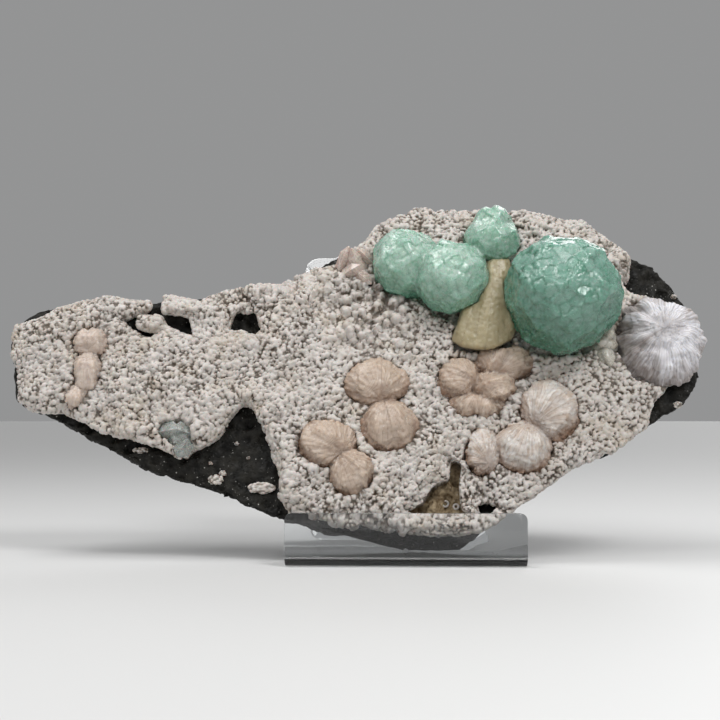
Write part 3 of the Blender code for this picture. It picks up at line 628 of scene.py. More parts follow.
@dataclass
class Crust:
    """The grainy crust on the front, in panels side by side. Sizes are in millimetres."""

    node: str = "chalcedony_crust"
    neighbours: tuple[tuple[str, float], ...] = (
        ("stilbite_bowtie_centre", 2.4), ("stilbite_bowtie_lower_left", 2.4),
        ("stilbite_group_centre_right", 2.4), ("stilbite_group_lower_right", 2.4),
        ("stilbite_bowtie_left_end", 2.0), ("apophyllite_balls_left", 8.0),
        ("apophyllite_ball_large", 6.0), ("scolecite_dome", 3.0),
    )
    cell: float = 0.41
    rounds: int = 17
    coarse: Grain = Grain(1.55, 3, 0.56, 0.92)
    small: Grain = Grain(1.15, 13, 0.56, 0.92)
    globule: Grain = Grain(4.0, 21, 0.44, 0.64)
    lump: Grain = Grain(8.5, 41, 0.6, 0.9)
    grit: Grain = Grain(0.75, 61)
    globule_middle: Pair = (-14.0, 98.0)
    globule_reach: float = 21.0
    globule_height: Pair = (0.42, 0.48)
    patches: Wave = Wave(60.0, 5)
    roll: Wave = Wave(26.0, 8)
    roll_height: float = 0.4
    dome_height: float = 0.85
    uneven_height: float = 0.30
    sunk: float = 0.55
    stains: Wave = Wave(34.0, 15)
    # Painted shade towards the crust's lower and right edges: the point where it starts, the
    # distance over which it grows, and its strength.
    shade_start: Pair = (52.0, 40.0)
    shade_reach: float = 26.0
    low_right_shade: float = 0.26
    parted: float = 1.6
    vug_middle: Pair = (12.0, 25.0)
    vug_half: Pair = (13.0, 12.0)
    seams: tuple[float, ...] = (-64.0, -20.0, 12.0, 31.5)
    back: float = 0.5
    depth: float = -2.2
    margin: float = 5.0
    crease: float = 75.0

    def sheet(self) -> Mesh:
        """The front of the solid, smoothed, cut off at the back and cut along the seams."""
        mesh = even_copy(self.node, self.cell, self.rounds)
        bm = bmesh.new()
        bm.from_mesh(mesh)
        right = Vector((1.0, 0.0, 0.0))
        cuts = [(Vector(FACE.points(0.0, 0.0, self.back)) * MM, Vector(FACE.out), True)]
        cuts += [(Vector((seam * MM, 0.0, 0.0)), right, False) for seam in self.seams]
        for place, way, cleared in cuts:
            bmesh.ops.bisect_plane(
                bm, geom=bm.verts[:] + bm.edges[:] + bm.faces[:], dist=1e-7, plane_co=place,
                plane_no=way, clear_inner=cleared,
            )
        bm.to_mesh(mesh)
        bm.free()
        return mesh

    def crystal_contact(self, points: Array) -> Array:
        """How near each point is to a crystal that grows out of the crust.

        Args:
            points: Places in millimetres.

        Returns:
            One number for each point, from 0 at the reach to 1 where they touch.
        """
        near = np.zeros(len(points))
        for node, reach in self.neighbours:
            tree = tree_of(merged_copy(node))
            low, high = (np.array(corner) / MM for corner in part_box(node))
            inside = ((points > low - reach) & (points < high + reach)).all(axis=1)
            for index in np.flatnonzero(inside):
                gap = tree.find_nearest(Vector(points[index] * MM), reach * MM)[3]
                if gap is not None:
                    near[index] = max(near[index], 1.0 - gap / (reach * MM))
        return near

    def grow(self, mesh: Mesh) -> None:
        """Works out how far each vertex moves, and keeps the patterns that the finish reads."""
        points = read_points(mesh)
        normals = read_normals(mesh)
        proud = (points - FACE.points(0.0, 0.0, 0.0)) @ FACE.out
        spot = np.stack([points[:, 0], points[:, 2] - proud * FACE.out[2]], axis=1)
        fine, tone = grains(points, self.coarse)
        second, second_tone = grains(points, self.small)
        second *= self.small.size / self.coarse.size
        tone = np.where(second > fine, second_tone, tone)
        fine = np.maximum(fine, second)
        large, large_tone = grains(points, self.globule)
        away = ((spot - np.array(self.globule_middle)) ** 2).sum(axis=1) / self.globule_reach**2
        knobbly = bell(away)
        much = np.clip(0.25 + 0.35 * swell(spot, *self.patches), 0.0, 0.7)
        much = much * (1.0 - knobbly) + knobbly
        rise = np.sqrt(np.clip(large * 2.2, 0.0, 1.1))
        edge = np.clip(1.25 * normals @ FACE.out, 0.62, 1.0)
        gap, dip, crest = np.percentile(fine, (5.0, 46.0, 92.0))
        dome = np.sqrt(np.clip((fine - gap) / (crest - gap), 0.0, 1.0))
        push = (self.dome_height * dome + self.uneven_height * tone - 0.1) * self.coarse.size
        push *= edge * (1.0 - 0.8 * knobbly)
        least, more = self.globule_height
        tall = much * (least + more * knobbly)
        push += tall * self.globule.size * rise * (0.6 + 0.4 * large_tone)
        push += 0.10 * self.lump.size * grains(points, self.lump)[0]
        push += self.roll_height * swell(points, *self.roll)
        push += 0.10 * grains(points, self.grit)[0] - self.sunk
        # Nearness to the crystals lifts the crust a little at their feet, and darkens it there as
        # painted shade.
        crystal_contact = self.crystal_contact(points)
        push += 0.35 * crystal_contact - self.parted * np.exp(-oval(spot, self.vug_middle, self.vug_half))
        # Random stain patches, painted shade around the crystals' feet, and less painted shade
        # where the crust turns away from the front.
        stain_and_shade = 0.30 * swell(spot, *self.stains) - 0.08 + 0.60 * crystal_contact - 0.5 * (1.0 - edge)
        # Painted shade: the crust darkens towards its lower and right edges, from the starting
        # point outwards.
        right, low = ((spot - np.array(self.shade_start)) * (1.0, -1.0) / self.shade_reach).T
        stain_and_shade += self.low_right_shade * (np.clip(right, 0.0, 1.0) + np.clip(low, 0.0, 1.0))
        # Painted shade and highlight: the gaps between grains and between globules are darker, and
        # the globules' tops lighter.
        between = (0.35 * much + 0.85 * knobbly) * (0.5 - rise)
        hollow = (dip - fine) / (dip - gap) + stain_and_shade + between
        keep(mesh, "shift", normals * push[:, None])
        keep(mesh, "hollow", np.clip(hollow, 0.0, 1.0))
        keep(mesh, "tone", 0.6 * tone + 0.4 * large_tone)

    def panel(
        self, sheet: Mesh, left: float, right: float, material: Material, name: str
    ) -> None:
        """Makes one panel of the crust, closed at the back.

        Args:
            sheet: The whole crust's front.
            left: The panel's left edge.
            right: The panel's right edge.
            material: The panel's material.
            name: The panel's name.
        """
        bm = bmesh.new()
        bm.from_mesh(sheet)
        beyond = [face for face in bm.faces if not left < face.calc_center_median().x / MM < right]
        bmesh.ops.delete(bm, geom=beyond, context="FACES")
        skirt = bmesh.ops.extrude_edge_only(bm, edges=open_edges(bm))["geom"]
        shift = bm.verts.layers.float_vector["shift"]
        hollow = bm.verts.layers.float["hollow"]
        out = Vector(FACE.out)
        foot = Vector(FACE.points(0.0, 0.0, self.depth)) * MM
        for vert in skirt:
            if isinstance(vert, bmesh.types.BMVert):
                vert.co -= out * (vert.co - foot).dot(out)
                vert[shift] = (0.0, 0.0, 0.0)
                # The panel's side walls take the full painted shade colour.
                vert[hollow] = 1.0
        filled = bmesh.ops.holes_fill(bm, edges=open_edges(bm), sides=0)["faces"]
        bmesh.ops.triangulate(bm, faces=filled, ngon_method="EAR_CLIP")
        bmesh.ops.recalc_face_normals(bm, faces=bm.faces[:])
        mesh = settle(bm, name)
        shifts = read_rows(mesh.attributes["shift"].data, "vector")
        write_points(mesh, read_points(mesh) + shifts)
        finish_piece(mesh, name, material, (self.node,), self.crease)

    def build(self) -> None:
        """Makes every panel."""
        sheet = self.sheet()
        self.grow(sheet)
        material = CrustFinish().build()
        low, high = (np.array(corner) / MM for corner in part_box(self.node))
        edges = (low[0] - self.margin, *self.seams, high[0] + self.margin)
        for number, (left, right) in enumerate(zip(edges, edges[1:]), start=1):
            self.panel(sheet, left, right, material, f"chalcedony_panel_{number}")


@dataclass
class Basalt:
    """The slab of vesicular basalt. Sizes are in millimetres."""

    node: str = "basalt_matrix"
    cell: float = 1.3
    bubbles: tuple[tuple[float, Grain], ...] = (
        (1.2, Grain(4.4, 11, 0.26, 0.60)), (0.9, Grain(2.3, 31, 0.28, 0.60)),
    )
    dents: tuple[tuple[float, Wave], ...] = ((0.35, Wave(9.0, 17)), (0.25, Wave(3.6, 19)))
    vug_middle: Pair = (11.0, 26.0)
    vug_half: Pair = (15.0, 13.0)
    vug_depth: float = 4.5
    vug_floor: Wave = Wave(7.0, 23)

    def build(self) -> None:
        """Makes the slab."""
        mesh = even_copy(self.node, self.cell)
        points = read_points(mesh)
        normals = read_normals(mesh)
        depth = np.zeros(len(points))
        for share, bubble in self.bubbles:
            depth += share * np.clip(grains(points, bubble)[0], 0.0, 1.0) * bubble.size
        for share, dent in self.dents:
            depth += share * (1.0 - swell(points, *dent))
        facing = np.clip(-(normals[:, 1]), 0.0, 1.0)
        away = oval(points[:, (0, 2)], self.vug_middle, self.vug_half)
        vug = np.clip(1.25 - away, 0.0, 1.0) * (facing > 0.5)
        depth += vug * self.vug_depth * (0.55 + 0.45 * swell(points, *self.vug_floor))
        write_points(mesh, points - normals * np.maximum(depth, 0.0)[:, None])
        keep(mesh, "vug", np.clip(vug * 2.0, 0.0, 1.0))
        finish_piece(mesh, "basalt_slab", BasaltFinish().build(), (self.node,))


@dataclass
class Flakes:
    """Loose lumps and rings of crust, each x, z and sizes in millimetres."""

    lumps: tuple[tuple[float, float, float, float], ...] = (
        (-55.7, 28.0, 5.6, 2.3), (-73.7, 31.0, 3.1, 2.1), (-71.0, 33.5, 1.5, 1.1),
        (-104.1, 42.3, 3.2, 1.3), (-87.5, 41.9, 3.9, 2.9), (106.9, 60.3, 1.9, 1.3),
        (18.4, 91.5, 1.6, 1.6), (89.5, 114.2, 2.1, 5.2), (23.9, 20.6, 2.4, 1.0),
        (-66.5, 45.0, 0.9, 0.7), (-61.5, 39.5, 0.8, 0.6), (-76.0, 37.5, 0.9, 0.8),
        (108.5, 104.0, 1.3, 0.8), (88.0, 90.5, 3.0, 3.6), (83.0, 95.5, 2.4, 2.0),
    )
    rings: tuple[Triple, ...] = ((15.4, 21.8, 1.15), (19.4, 21.0, 0.95))
    ring_wire: float = 0.42
    thick: float = 1.6
    proud: float = 0.4
    grain: Grain = Grain(1.3, 71, 0.46, 0.78)
    reach: float = 40.0
    carriers: tuple[str, ...] = (
        "basalt_slab", "chalcedony_panel_1", "chalcedony_panel_2", "chalcedony_panel_3",
        "chalcedony_panel_4",
    )

    def trees(self) -> list[BVHTree]:
        """The surfaces that the flakes lie on."""
        made = []
        for name in self.carriers:
            bm = bmesh.new()
            bm.from_mesh(bpy.data.objects[name].data)
            made.append(tree_of(bm))
        return made

    def seat(self, bm: BMesh, made: list[bmesh.types.BMVert], place: Vector) -> None:
        """Leans new vertices with the slab and moves them to their place."""
        bmesh.ops.rotate(bm, matrix=Matrix.Rotation(-FACE.lean, 3, "X"), verts=made)
        bmesh.ops.translate(bm, vec=place, verts=made)

    def build(self) -> None:
        """Makes the flakes as one piece."""
        trees = self.trees()

        def surface(x: float, z: float) -> Vector:
            """The first surface behind this spot of the front."""
            start = Vector(FACE.ahead(x, z, self.reach) * MM)
            hits = [tree.ray_cast(start, Vector((0.0, 1.0, 0.0)))[0] for tree in trees]
            return min((hit for hit in hits if hit is not None), key=lambda hit: hit.y)

        bm = bmesh.new()
        smooth = bm.verts.layers.float.new("smooth")
        for x, z, across, up in self.lumps:
            made = bmesh.ops.create_icosphere(bm, subdivisions=4, radius=1.0)["verts"]
            bmesh.ops.scale(bm, vec=(across * MM, self.thick * MM, up * MM), verts=made)
            self.seat(bm, made, surface(x, z) + Vector(FACE.out) * self.proud * MM)
        for x, z, radius in self.rings:
            before = set(bm.verts)
            circle = bmesh.ops.create_circle(bm, segments=12, radius=self.ring_wire * MM)["verts"]
            bmesh.ops.translate(bm, vec=(radius * MM, 0.0, 0.0), verts=circle)
            edges = list({edge for vert in circle for edge in vert.link_edges})
            bmesh.ops.spin(
                bm, geom=circle + edges, cent=(0.0, 0.0, 0.0), axis=(0.0, 1.0, 0.0),
                angle=2.0 * math.pi, steps=24, use_merge=True,
            )
            made = [vert for vert in bm.verts if vert not in before]
            for vert in made:
                vert[smooth] = 1.0
            self.seat(bm, made, surface(x, z) + Vector(FACE.out) * self.ring_wire * MM)
        bmesh.ops.recalc_face_normals(bm, faces=bm.faces[:])
        mesh = settle(bm, "crust_flakes")
        plain = read_value(mesh, "smooth")
        points = read_points(mesh)
        fine, tone = grains(points, self.grain)
        push = (0.55 * np.sqrt(np.clip(fine, 0.0, 1.0)) - 0.3) * self.grain.size * (1.0 - plain)
        write_points(mesh, points + read_normals(mesh) * push[:, None])
        # Painted shade in the gaps between the flakes' grains; the smooth rings get none.
        keep(mesh, "hollow", np.clip(0.6 - 1.2 * fine, 0.0, 1.0) * (1.0 - plain))
        keep(mesh, "tone", np.maximum(0.4 + 0.6 * tone, plain))
        finish_piece(mesh, "crust_flakes", CrustFinish().build())


@dataclass(frozen=True)
class Fan:
    """One sheaf of crystals that spreads from a root.

    The middle is x and z over the front, in millimetres, the half sizes are across, up and out,
    and the angle is the way it opens, in degrees from the right, or None for one that opens all
    round from its middle.
    """

    x: float
    z: float
    half: Triple
    angle: float | None = None
    proud: float = 5.0
    peak: float = 0.0
    root_back: float = 0.82
    root_sunk: float = 2.5

    @property
    def middle(self) -> Array:
        """The middle, in millimetres."""
        return FACE.ahead(self.x, self.z, self.proud)

    @property
    def axes(self) -> Array:
        """The half sizes along x, y and z, in millimetres."""
        return np.array([self.half[0], self.half[2], self.half[1]])

    @property
    def root(self) -> Array:
        """Where the crystals start, in millimetres."""
        if self.angle is None:
            return self.middle
        turn = math.radians(self.angle)
        back = self.root_back * min(self.half[0], self.half[1])
        x, z = self.x - back * math.cos(turn), self.z - back * math.sin(turn)
        return FACE.ahead(x, z, self.proud - self.root_sunk)

    def crown(self, points: Array, way: Triple) -> Array:
        """How near each point is to the fan's crown, from 0 at the far side to 1.

        Args:
            points: Places in millimetres.
            way: Direction from the middle to the crown.

        Returns:
            One number for each point.
        """
        ways = unit((points - self.middle) / self.axes)
        return 0.5 + 0.5 * ways @ (np.array(way) / np.linalg.norm(way))


@dataclass
class Aggregate:
    """Crystals grown out from the roots of one or more fans. Sizes are in millimetres."""

    node: str
    name: str
    slot: Slot
    fans: tuple[Fan, ...]
    cell: float = 0.5
    rounds: int = 0
    puff: float = 0.0
    count: int = 240
    jostle: float = 0.6
    step: float = 0.5
    groove: float = 0.35
    groove_width: float = 0.18
    tilt: float = 0.0
    fibre: float = 0.0
    fibre_size: float = 0.1
    lobing: float = 0.0
    crown_way: Triple = (0.05, -0.92, 0.39)
    blades: int = 0
    serration: float = 0.0
    sugar: float = 0.0
    sugar_size: float = 1.25
    blade_depth: float = 1.3
    shoulder: Triple = (0.62, 0.38, 0.85)
    neck: Triple = (1.12, 0.26, 0.75)
    swell_size: float = 7.0
    swell_height: float = 0.0
    seed: int = 1

    def rays(self) -> tuple[KDTree, Array]:
        """The crystals' directions, spread evenly and then jostled.

        Returns:
            A tree to look them up in, and a random number for each.
        """
        rng = np.random.default_rng(self.seed)
        tree = KDTree(self.count)
        for index in range(self.count):
            height = 1.0 - 2.0 * (index + 0.5) / self.count
            ring = math.sqrt(1.0 - height * height)
            turn = GOLDEN_TURN * index
            way = np.array([ring * math.cos(turn), ring * math.sin(turn), height])
            way += rng.normal(scale=self.jostle / math.sqrt(self.count), size=3)
            tree.insert(Vector(way / np.linalg.norm(way)), index)
        tree.balance()
        return tree, rng.uniform(size=self.count)

    def point_up(self, arms: Array, peaks: Array) -> Array:
        """Draws a ball's shoulders in under its peak, so that its sides run up straight.

        Args:
            arms: From the root to each point, in millimetres.
            peaks: How far each point's fan is drawn in, in millimetres.

        Returns:
            How far each point moves out, in millimetres.
        """
        rise = np.arcsin(np.clip(arms[:, 2] / np.linalg.norm(arms, axis=1), -1.0, 1.0))
        neck, shoulder = (
            height * bell((rise - angle) / width)
            for angle, width, height in (self.neck, self.shoulder)
        )
        return peaks * (neck - shoulder)

    def packed_crystals(
        self, arms: Array, ways: Array, own: Array
    ) -> tuple[Array, Array, Array]:
        """Crystals that point all round from the root.

        Args:
            arms: From the root to each point, in millimetres.
            ways: The arms' directions.
            own: Number of each point's fan.

        Returns:
            A random number of each point's crystal, how near the point is to the crystal's
            border from 0 to 1, and how far the crystal's tilted face lifts it in millimetres.
        """
        tree, chances = self.rays()
        leans = np.random.default_rng(self.seed + 1).normal(size=(self.count, 3))
        spacing = math.sqrt(4.0 * math.pi / self.count)
        cell = np.empty(len(arms), int)
        offset = np.empty((len(arms), 3))
        border = np.empty(len(arms))
        for index, way in enumerate(ways):
            (place, first, near), (_, _, far) = tree.find_n(Vector(way), 2)
            cell[index] = (first + 37 * own[index]) % self.count
            offset[index] = way - np.array(place)
            border[index] = (far - near) / spacing
        groove = bell(border / self.groove_width)
        lean = self.tilt * np.linalg.norm(arms, axis=1) * (offset * leans[cell]).sum(axis=1)
        return chances[cell], groove, lean

    def spread_blades(
        self, arms: Array, own: Array
    ) -> tuple[Array, Array, Array]:
        """Thin blades that spread over the slab's front from the root, in layers.

        Args:
            arms: From the root to each point, in millimetres.
            own: Number of each point's fan.

        Returns:
            A random number of each point's blade, how near the point is to the blade's border
            from 0 to 1, and the direction that the blade's streaks follow.
        """
        out = arms @ FACE.out
        up = arms[:, 2] / math.cos(FACE.lean) - out * math.tan(FACE.lean)
        turn = np.arctan2(up, arms[:, 0])
        layer = np.floor(out / self.blade_depth + 0.35 * swell(arms, 6.0, self.seed + 3))
        wedge = turn * self.blades / (2.0 * math.pi) + 9.0 * chance(layer[:, None], self.seed)
        tone = chance(np.stack([np.floor(wedge), layer, own], axis=1), self.seed)
        length = np.hypot(arms[:, 0], up)
        gap = np.abs(wedge - np.rint(wedge)) * 2.0 * math.pi / self.blades * length
        groove = bell(gap / self.groove_width)
        ways = np.stack([np.cos(turn), np.sin(turn), 0.008 * out], axis=1)
        return tone, groove, ways

    def shape(self, mesh: Mesh) -> None:
        """Grows the crystals on an even mesh and keeps the patterns that the finish reads."""
        points = read_points(mesh)
        normals = read_normals(mesh)
        own = np.argmin([oval(points, fan.middle, fan.axes) for fan in self.fans], axis=0)
        arms = points - np.array([fan.root for fan in self.fans])[own]
        ways = unit(arms)
        lean = 0.0
        if self.blades:
            tone, groove, ways = self.spread_blades(arms, own)
        else:
            tone, groove, lean = self.packed_crystals(arms, ways, own)
        push = self.puff + self.step * (tone - 0.5) - self.groove * groove + lean
        push += self.swell_height * swell(points, self.swell_size, self.seed + 50)
        push += self.point_up(arms, np.array([fan.peak for fan in self.fans])[own])
        crowns = np.array([fan.crown(points, self.crown_way) for fan in self.fans])
        crown = crowns[own, np.arange(len(points))]
        rim = np.clip(1.5 - 1.5 * crown, 0.15, 1.0)
        push += rim * self.fibre * swell(ways, self.fibre_size, self.seed + 60, 14)
        push += rim * self.serration * (tone - 0.5)
        sugar = Grain(self.sugar_size, self.seed + 80, 0.5, 0.9)
        push += (0.4 + rim) * self.sugar * grains(points, sugar)[0]
        push += rim * self.lobing * swell(ways, 0.9, self.seed + 70)
        write_points(mesh, points + normals * push[:, None])
        keep(mesh, "tone", tone)
        keep(mesh, "groove", groove)
        keep(mesh, "crown", crown)
        keep(mesh, "ray", ways + own[:, None] * 3.0)

    def build(self, finish: CrystalFinish) -> None:
        """Makes the aggregate.

        Args:
            finish: Its finish.
        """
        mesh = even_copy(self.node, self.cell, self.rounds)
        self.shape(mesh)
        finish_piece(mesh, self.name, finish.build(), (self.node,))


@dataclass
class Ball(Aggregate):
    """Balls of crystals that point all round, each with a tilted flat end."""

    groove: float = 0.0
    tilt: float = 0.10
    # The crown faces up and forward, so the painted shade falls on the balls' lower parts.
    crown_way: Triple = (0.1, -0.62, 0.78)
    swell_size: float = 9.0
    swell_height: float = 0.10


@dataclass
class Spray(Aggregate):
    """Sheaves of thin blades that overlap, with a frayed rim."""

    step: float = 0.3
    groove: float = 0.04
    groove_width: float = 0.2
    fibre: float = 0.40
    fibre_size: float = 0.16
    lobing: float = 0.7
    blades: int = 48
    serration: float = 1.3
    sugar: float = 0.55
    swell_height: float = 0.30


@dataclass
class Stalk(Aggregate):
    """The yellow stalk, whose foot is rounded off. Sizes are in millimetres."""

    foot_x: float = 29.6
    foot_half: float = 13.4
    foot_rise: float = 5.2
    foot_reach: float = 8.0

    def shape(self, mesh: Mesh) -> None:
        """Rounds the foot, then grows the crystals."""
        points = read_points(mesh)
        low = points[:, 2].min()
        near = np.clip(1.0 - (points[:, 2] - low) / self.foot_reach, 0.0, 1.0)
        side = ((points[:, 0] - self.foot_x) / self.foot_half) ** 2
        points[:, 2] += near * self.foot_rise * side
        write_points(mesh, points)
        super().shape(mesh)


@dataclass
class Minerals:
    """Every crystal aggregate on the slab."""

    green: CrystalFinish = CrystalFinish(
        "green_apophyllite", (0.62, 0.80, 0.70), (0.33, 0.57, 0.44), (0.11, 0.33, 0.215),
        crown=(0.18, 0.86), clear=0.32, glow=0.6, glow_reach=6.0, glow_radius=(0.5, 1.0, 0.8),
        roughness=(0.14, 0.36), refraction=1.535, streak=0.09, relief=0.05, gloss=0.4, frost=0.2,
        crackle=0.24,
    )
    deep_green: CrystalFinish = replace(
        green, name="deep_green_apophyllite", pale=(0.38, 0.60, 0.51), deep=(0.16, 0.41, 0.30),
        rim=(0.05, 0.19, 0.115), crown=(0.24, 0.98), clear=0.34, roughness=(0.12, 0.34), gloss=0.45,
        frost=0.25, crackle=0.28,
    )
    peach: CrystalFinish = CrystalFinish(
        "peach_stilbite", (0.58, 0.475, 0.39), (0.47, 0.36, 0.28), (0.27, 0.16, 0.105),
        crown=(0.58, 0.84), ragged=0.22, clear=0.1, glow=0.6, glow_reach=4.0,
        roughness=(0.34, 0.55), refraction=1.5, streak=0.07, streaked=0.35, relief=0.045,
        gloss=0.15, frost=0.55, crackle=0.2,
    )
    sprayed: CrystalFinish = replace(
        peach, name="sprayed_stilbite", pale=(0.66, 0.63, 0.60), streaked=0.7, frost=0.5,
    )
    faded: CrystalFinish = replace(
        peach, name="faded_stilbite", pale=(0.66, 0.57, 0.50), deep=(0.54, 0.44, 0.375),
        rim=(0.44, 0.33, 0.265),
    )
    yellow: CrystalFinish = CrystalFinish(
        "yellow_stilbite", (0.46, 0.395, 0.245), (0.37, 0.305, 0.175), (0.27, 0.185, 0.095),
        crown=(0.30, 0.7), ragged=0.2, clear=0.15, glow=0.6, glow_reach=5.0, roughness=(0.34, 0.52),
        refraction=1.5, streak=0.07, relief=0.06, gloss=0.15, frost=0.45, crackle=0.2,
    )
    needles: CrystalFinish = CrystalFinish(
        "white_needles", (0.80, 0.80, 0.84), (0.56, 0.53, 0.54), (0.27, 0.235, 0.22),
        crown=(0.80, 0.95), ragged=0.45, clear=0.0, glow=0.3, glow_reach=2.0, roughness=(0.4, 0.6),
        refraction=1.51, streak=0.03, relief=0.30,
    )
    cream: CrystalFinish = CrystalFinish(
        "cream_crystals", (0.74, 0.71, 0.64), (0.50, 0.46, 0.38), (0.34, 0.29, 0.22),
        crown=(0.35, 0.75), ragged=0.2, clear=0.3, glow=0.4, glow_reach=3.0, roughness=(0.2, 0.4),
        refraction=1.5, streak=0.08, relief=0.1, gloss=0.3, frost=0.4,
    )

    def balls(self) -> list[tuple[Aggregate, CrystalFinish]]:
        """The green balls."""
        large = Ball(
            "apophyllite_ball_large", "apophyllite_large", Slot.GREEN,
            (Fan(61.3, 103.6, (22.6, 22.6, 22.6), None, 20.0),),
            cell=0.55, count=330, step=0.16, fibre=0.12, fibre_size=0.09, seed=4,
        )
        left = Ball(
            "apophyllite_balls_left", "apophyllite_left", Slot.GREEN,
            (
                Fan(0.0, 117.2, (13.4, 13.4, 13.4), None, 10.5),
                Fan(18.5, 111.0, (14.4, 14.4, 14.4), None, 14.0),
                Fan(35.0, 127.6, (11.2, 11.2, 11.2), None, 12.0, 1.5),
            ),
            cell=0.52, count=190, step=0.14, fibre=0.10, fibre_size=0.12, seed=9,
        )
        return [(large, self.deep_green), (left, self.green)]

    def sprays(self) -> list[tuple[Aggregate, CrystalFinish]]:
        """The peach sprays, each fan given as x, z, half sizes and angle."""
        groups = (
            ("stilbite_bowtie_centre", self.peach, (
                (-11.5, 68.1, 12.9, 10.2, 9.0, 105.0), (-6.0, 51.6, 10.9, 10.9, 8.5, -75.0),
            )),
            ("stilbite_bowtie_lower_left", self.peach, (
                (-30.2, 44.8, 11.8, 9.6, 8.5, 140.0), (-20.6, 33.8, 8.7, 9.7, 7.5, -50.0),
            )),
            ("stilbite_group_centre_right", self.peach, (
                (21.2, 70.4, 8.3, 8.3, 9.0, 150.0), (34.7, 66.9, 8.8, 6.8, 10.5, 20.0),
                (38.9, 76.0, 11.6, 8.3, 7.5, 60.0), (28.3, 60.0, 10.6, 5.4, 7.0, -90.0),
            )),
            ("stilbite_group_lower_right", self.sprayed, (
                (44.7, 43.2, 11.2, 10.4, 9.5, -110.0), (55.6, 57.3, 11.8, 12.4, 9.5, 45.0),
                (29.6, 41.3, 6.9, 9.6, 7.0, 110.0),
            )),
            ("stilbite_bowtie_left_end", self.faded, (
                (-126.1, 85.0, 7.2, 6.4, 7.5, 90.0), (-126.0, 72.2, 5.8, 9.4, 7.2, -90.0),
                (-129.9, 63.0, 4.2, 4.6, 6.8, -110.0),
            )),
        )
        made = []
        for seed, (node, finish, rows) in enumerate(groups, start=20):
            fans = tuple(Fan(x, z, tuple(half), angle) for x, z, *half, angle in rows)
            name = node.replace("stilbite", "peach")
            made.append((Spray(node, name, Slot.PEACH, fans, seed=seed), finish))
        return made

    def others(self) -> list[tuple[Aggregate, CrystalFinish]]:
        """The yellow stalk, the white dome and the cream crystals."""
        stalk = Stalk(
            "stilbite_stalk_yellow", "yellow_stalk", Slot.YELLOW,
            (Fan(36.5, 118.0, (14.0, 24.0, 9.0), -97.0, 4.0),),
            cell=0.55, rounds=14, blades=72, blade_depth=3.0, step=0.2, groove=0.1, puff=0.5,
            sugar=0.5, fibre=0.35, fibre_size=0.1, swell_size=12.0, swell_height=0.2, seed=33,
        )
        dome = Aggregate(
            "scolecite_dome", "needle_dome", Slot.WHITE,
            (Fan(100.3, 84.0, (17.4, 19.2, 15.0), None, -3.0),),
            cell=0.42, blades=64, blade_depth=2.2, step=0.8, groove=0.15, groove_width=0.3,
            fibre=0.5, fibre_size=0.12, lobing=0.9, swell_size=5.0, swell_height=0.5,
            crown_way=(0.18, -0.93, 0.28), seed=41,
        )
        shards = Aggregate(
            "stilbite_crystals_right", "cream_crystals", Slot.PEACH,
            (Fan(77.0, 85.0, (6.0, 8.0, 6.0), None, 2.0),),
            cell=0.4, rounds=5, puff=1.2, count=40, step=0.3, groove=0.1, tilt=0.15, fibre=0.1,
            swell_size=5.0, swell_height=0.3, seed=51,
        )
        return [(stalk, self.yellow), (dome, self.needles), (shards, self.cream)]

    def build(self) -> None:
        """Makes every aggregate and dresses the small crystals."""
        for aggregate, finish in self.balls() + self.sprays() + self.others():
            aggregate.build(finish)
        pink = FacetFinish("pink_crystals", (0.78, 0.68, 0.62), (0.60, 0.48, 0.42), 0.15)
        grey = FacetFinish("grey_crystal", (0.74, 0.77, 0.74), (0.42, 0.46, 0.43), 0.6)
        for node, facets in (("stilbite_crystals_top", pink), ("apophyllite_colourless", grey)):
            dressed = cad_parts[node].data
            dressed.materials.clear()
            dressed.materials.append(facets.build())


@dataclass
class Stand:
    """The bent acrylic stand."""

    node: str = "acrylic_stand"
    edge_round: float = 0.45
    flat: float = 3.0
    bend: float = 30.0
    crease: float = 28.0

    def build(self) -> None:
        """Makes the stand with its polished edges."""
        bm = merged_copy(self.node)
        limit = math.radians(self.flat)
        bmesh.ops.dissolve_limit(bm, angle_limit=limit, verts=bm.verts[:], edges=bm.edges[:])
        turn = math.radians(self.bend)
        hard = [e for e in bm.edges if len(e.link_faces) == 2 and e.calc_face_angle(0.0) > turn]
        bmesh.ops.bevel(
            bm, geom=hard, offset=self.edge_round * MM, segments=3, profile=0.5, material=-1,
            affect="EDGES", clamp_overlap=True,
        )
        bmesh.ops.recalc_face_normals(bm, faces=bm.faces[:])
        name = "acrylic_sheet"
        material = AcrylicFinish().build()
        finish_piece(settle(bm, name), name, material, (self.node,), self.crease)


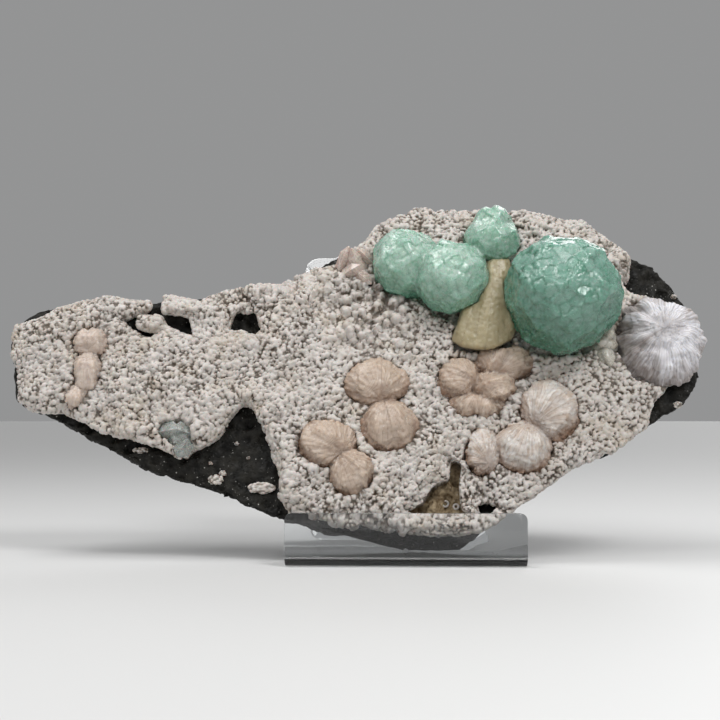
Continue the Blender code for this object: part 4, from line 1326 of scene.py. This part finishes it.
@dataclass
class Studio:
    """Camera, soft lights and floor. Places are in metres.

    Each light has a kind, a name, its place or for a sun the direction it comes from, the panel's
    side or for a sun its width in degrees, and its power.
    """

    eye: Triple = (0.0, -0.509, 0.056)
    tilt: float = 90.0 + math.degrees(math.atan(56.0 / 1300.0))
    yaw: float = 2.0
    lens: float = 65.0
    sensor: float = 36.0
    nearest: float = 0.01
    aim: Triple = (0.0, 0.02, 0.075)
    floor_radius: float = 14.0
    floor_colour: Triple = (0.70, 0.70, 0.695)
    floor_roughness: float = 0.55
    room: Triple = (0.92, 0.925, 0.93)
    room_strength: float = 0.32
    lights: tuple[tuple[str, str, Triple, float, float], ...] = (
        ("AREA", "key", (0.42, -0.55, 0.74), 0.32, 4.8),
        ("AREA", "top", (-0.30, -0.10, 0.80), 0.35, 2.6),
        ("SUN", "front", (-0.5, -0.8, 0.9), 24.0, 0.66),
        ("SUN", "rear", (0.3, 0.9, 0.6), 30.0, 0.5),
    )

    def camera(self) -> None:
        """Sets the camera at the photograph's angle."""
        data = bpy.data.cameras.new("camera")
        data.lens = self.lens
        data.sensor_width = self.sensor
        data.clip_start = self.nearest
        camera = bpy.data.objects.new("camera", data)
        camera.location = self.eye
        camera.rotation_euler = (math.radians(self.tilt), 0.0, math.radians(self.yaw))
        bpy.context.scene.collection.objects.link(camera)
        bpy.context.scene.camera = camera

    def light(
        self, kind: str, name: str, place: Triple, wide: float, power: float
    ) -> None:
        """Adds one soft light, as the class says."""
        data = bpy.data.lights.new(name, kind)
        data.energy = power
        light = bpy.data.objects.new(name, data)
        if kind == "SUN":
            data.angle = math.radians(wide)
            way = -Vector(place)
        else:
            data.size = wide
            light.location = place
            way = Vector(self.aim) - Vector(place)
        light.rotation_euler = way.to_track_quat("-Z", "Y").to_euler()
        bpy.context.scene.collection.objects.link(light)

    def floor(self) -> None:
        """Lays the pale floor."""
        bm = bmesh.new()
        bmesh.ops.create_circle(bm, cap_ends=True, segments=96, radius=self.floor_radius)
        mesh = settle(bm, "floor")
        recipe = Recipe("floor")
        recipe.set(Base_Color=self.floor_colour, Roughness=self.floor_roughness)
        mesh.materials.append(recipe.material)
        link(mesh, "floor")

    def build(self) -> None:
        """Sets up the whole studio."""
        self.camera()
        self.floor()
        for row in self.lights:
            self.light(*row)
        world = bpy.data.worlds.new("room")
        world.use_nodes = True
        sky = world.node_tree.nodes["Background"].inputs
        sky["Color"].default_value = (*self.room, 1.0)
        sky["Strength"].default_value = self.room_strength
        bpy.context.scene.world = world
        bpy.context.scene.view_settings.view_transform = "Standard"


def main() -> None:
    """Builds the object and its studio."""
    logging.basicConfig(level=logging.INFO, format="%(message)s")
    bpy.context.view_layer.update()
    Studio().build()
    Basalt().build()
    Crust().build()
    Flakes().build()
    Minerals().build()
    Stand().build()


if __name__ == "__main__":
    main()
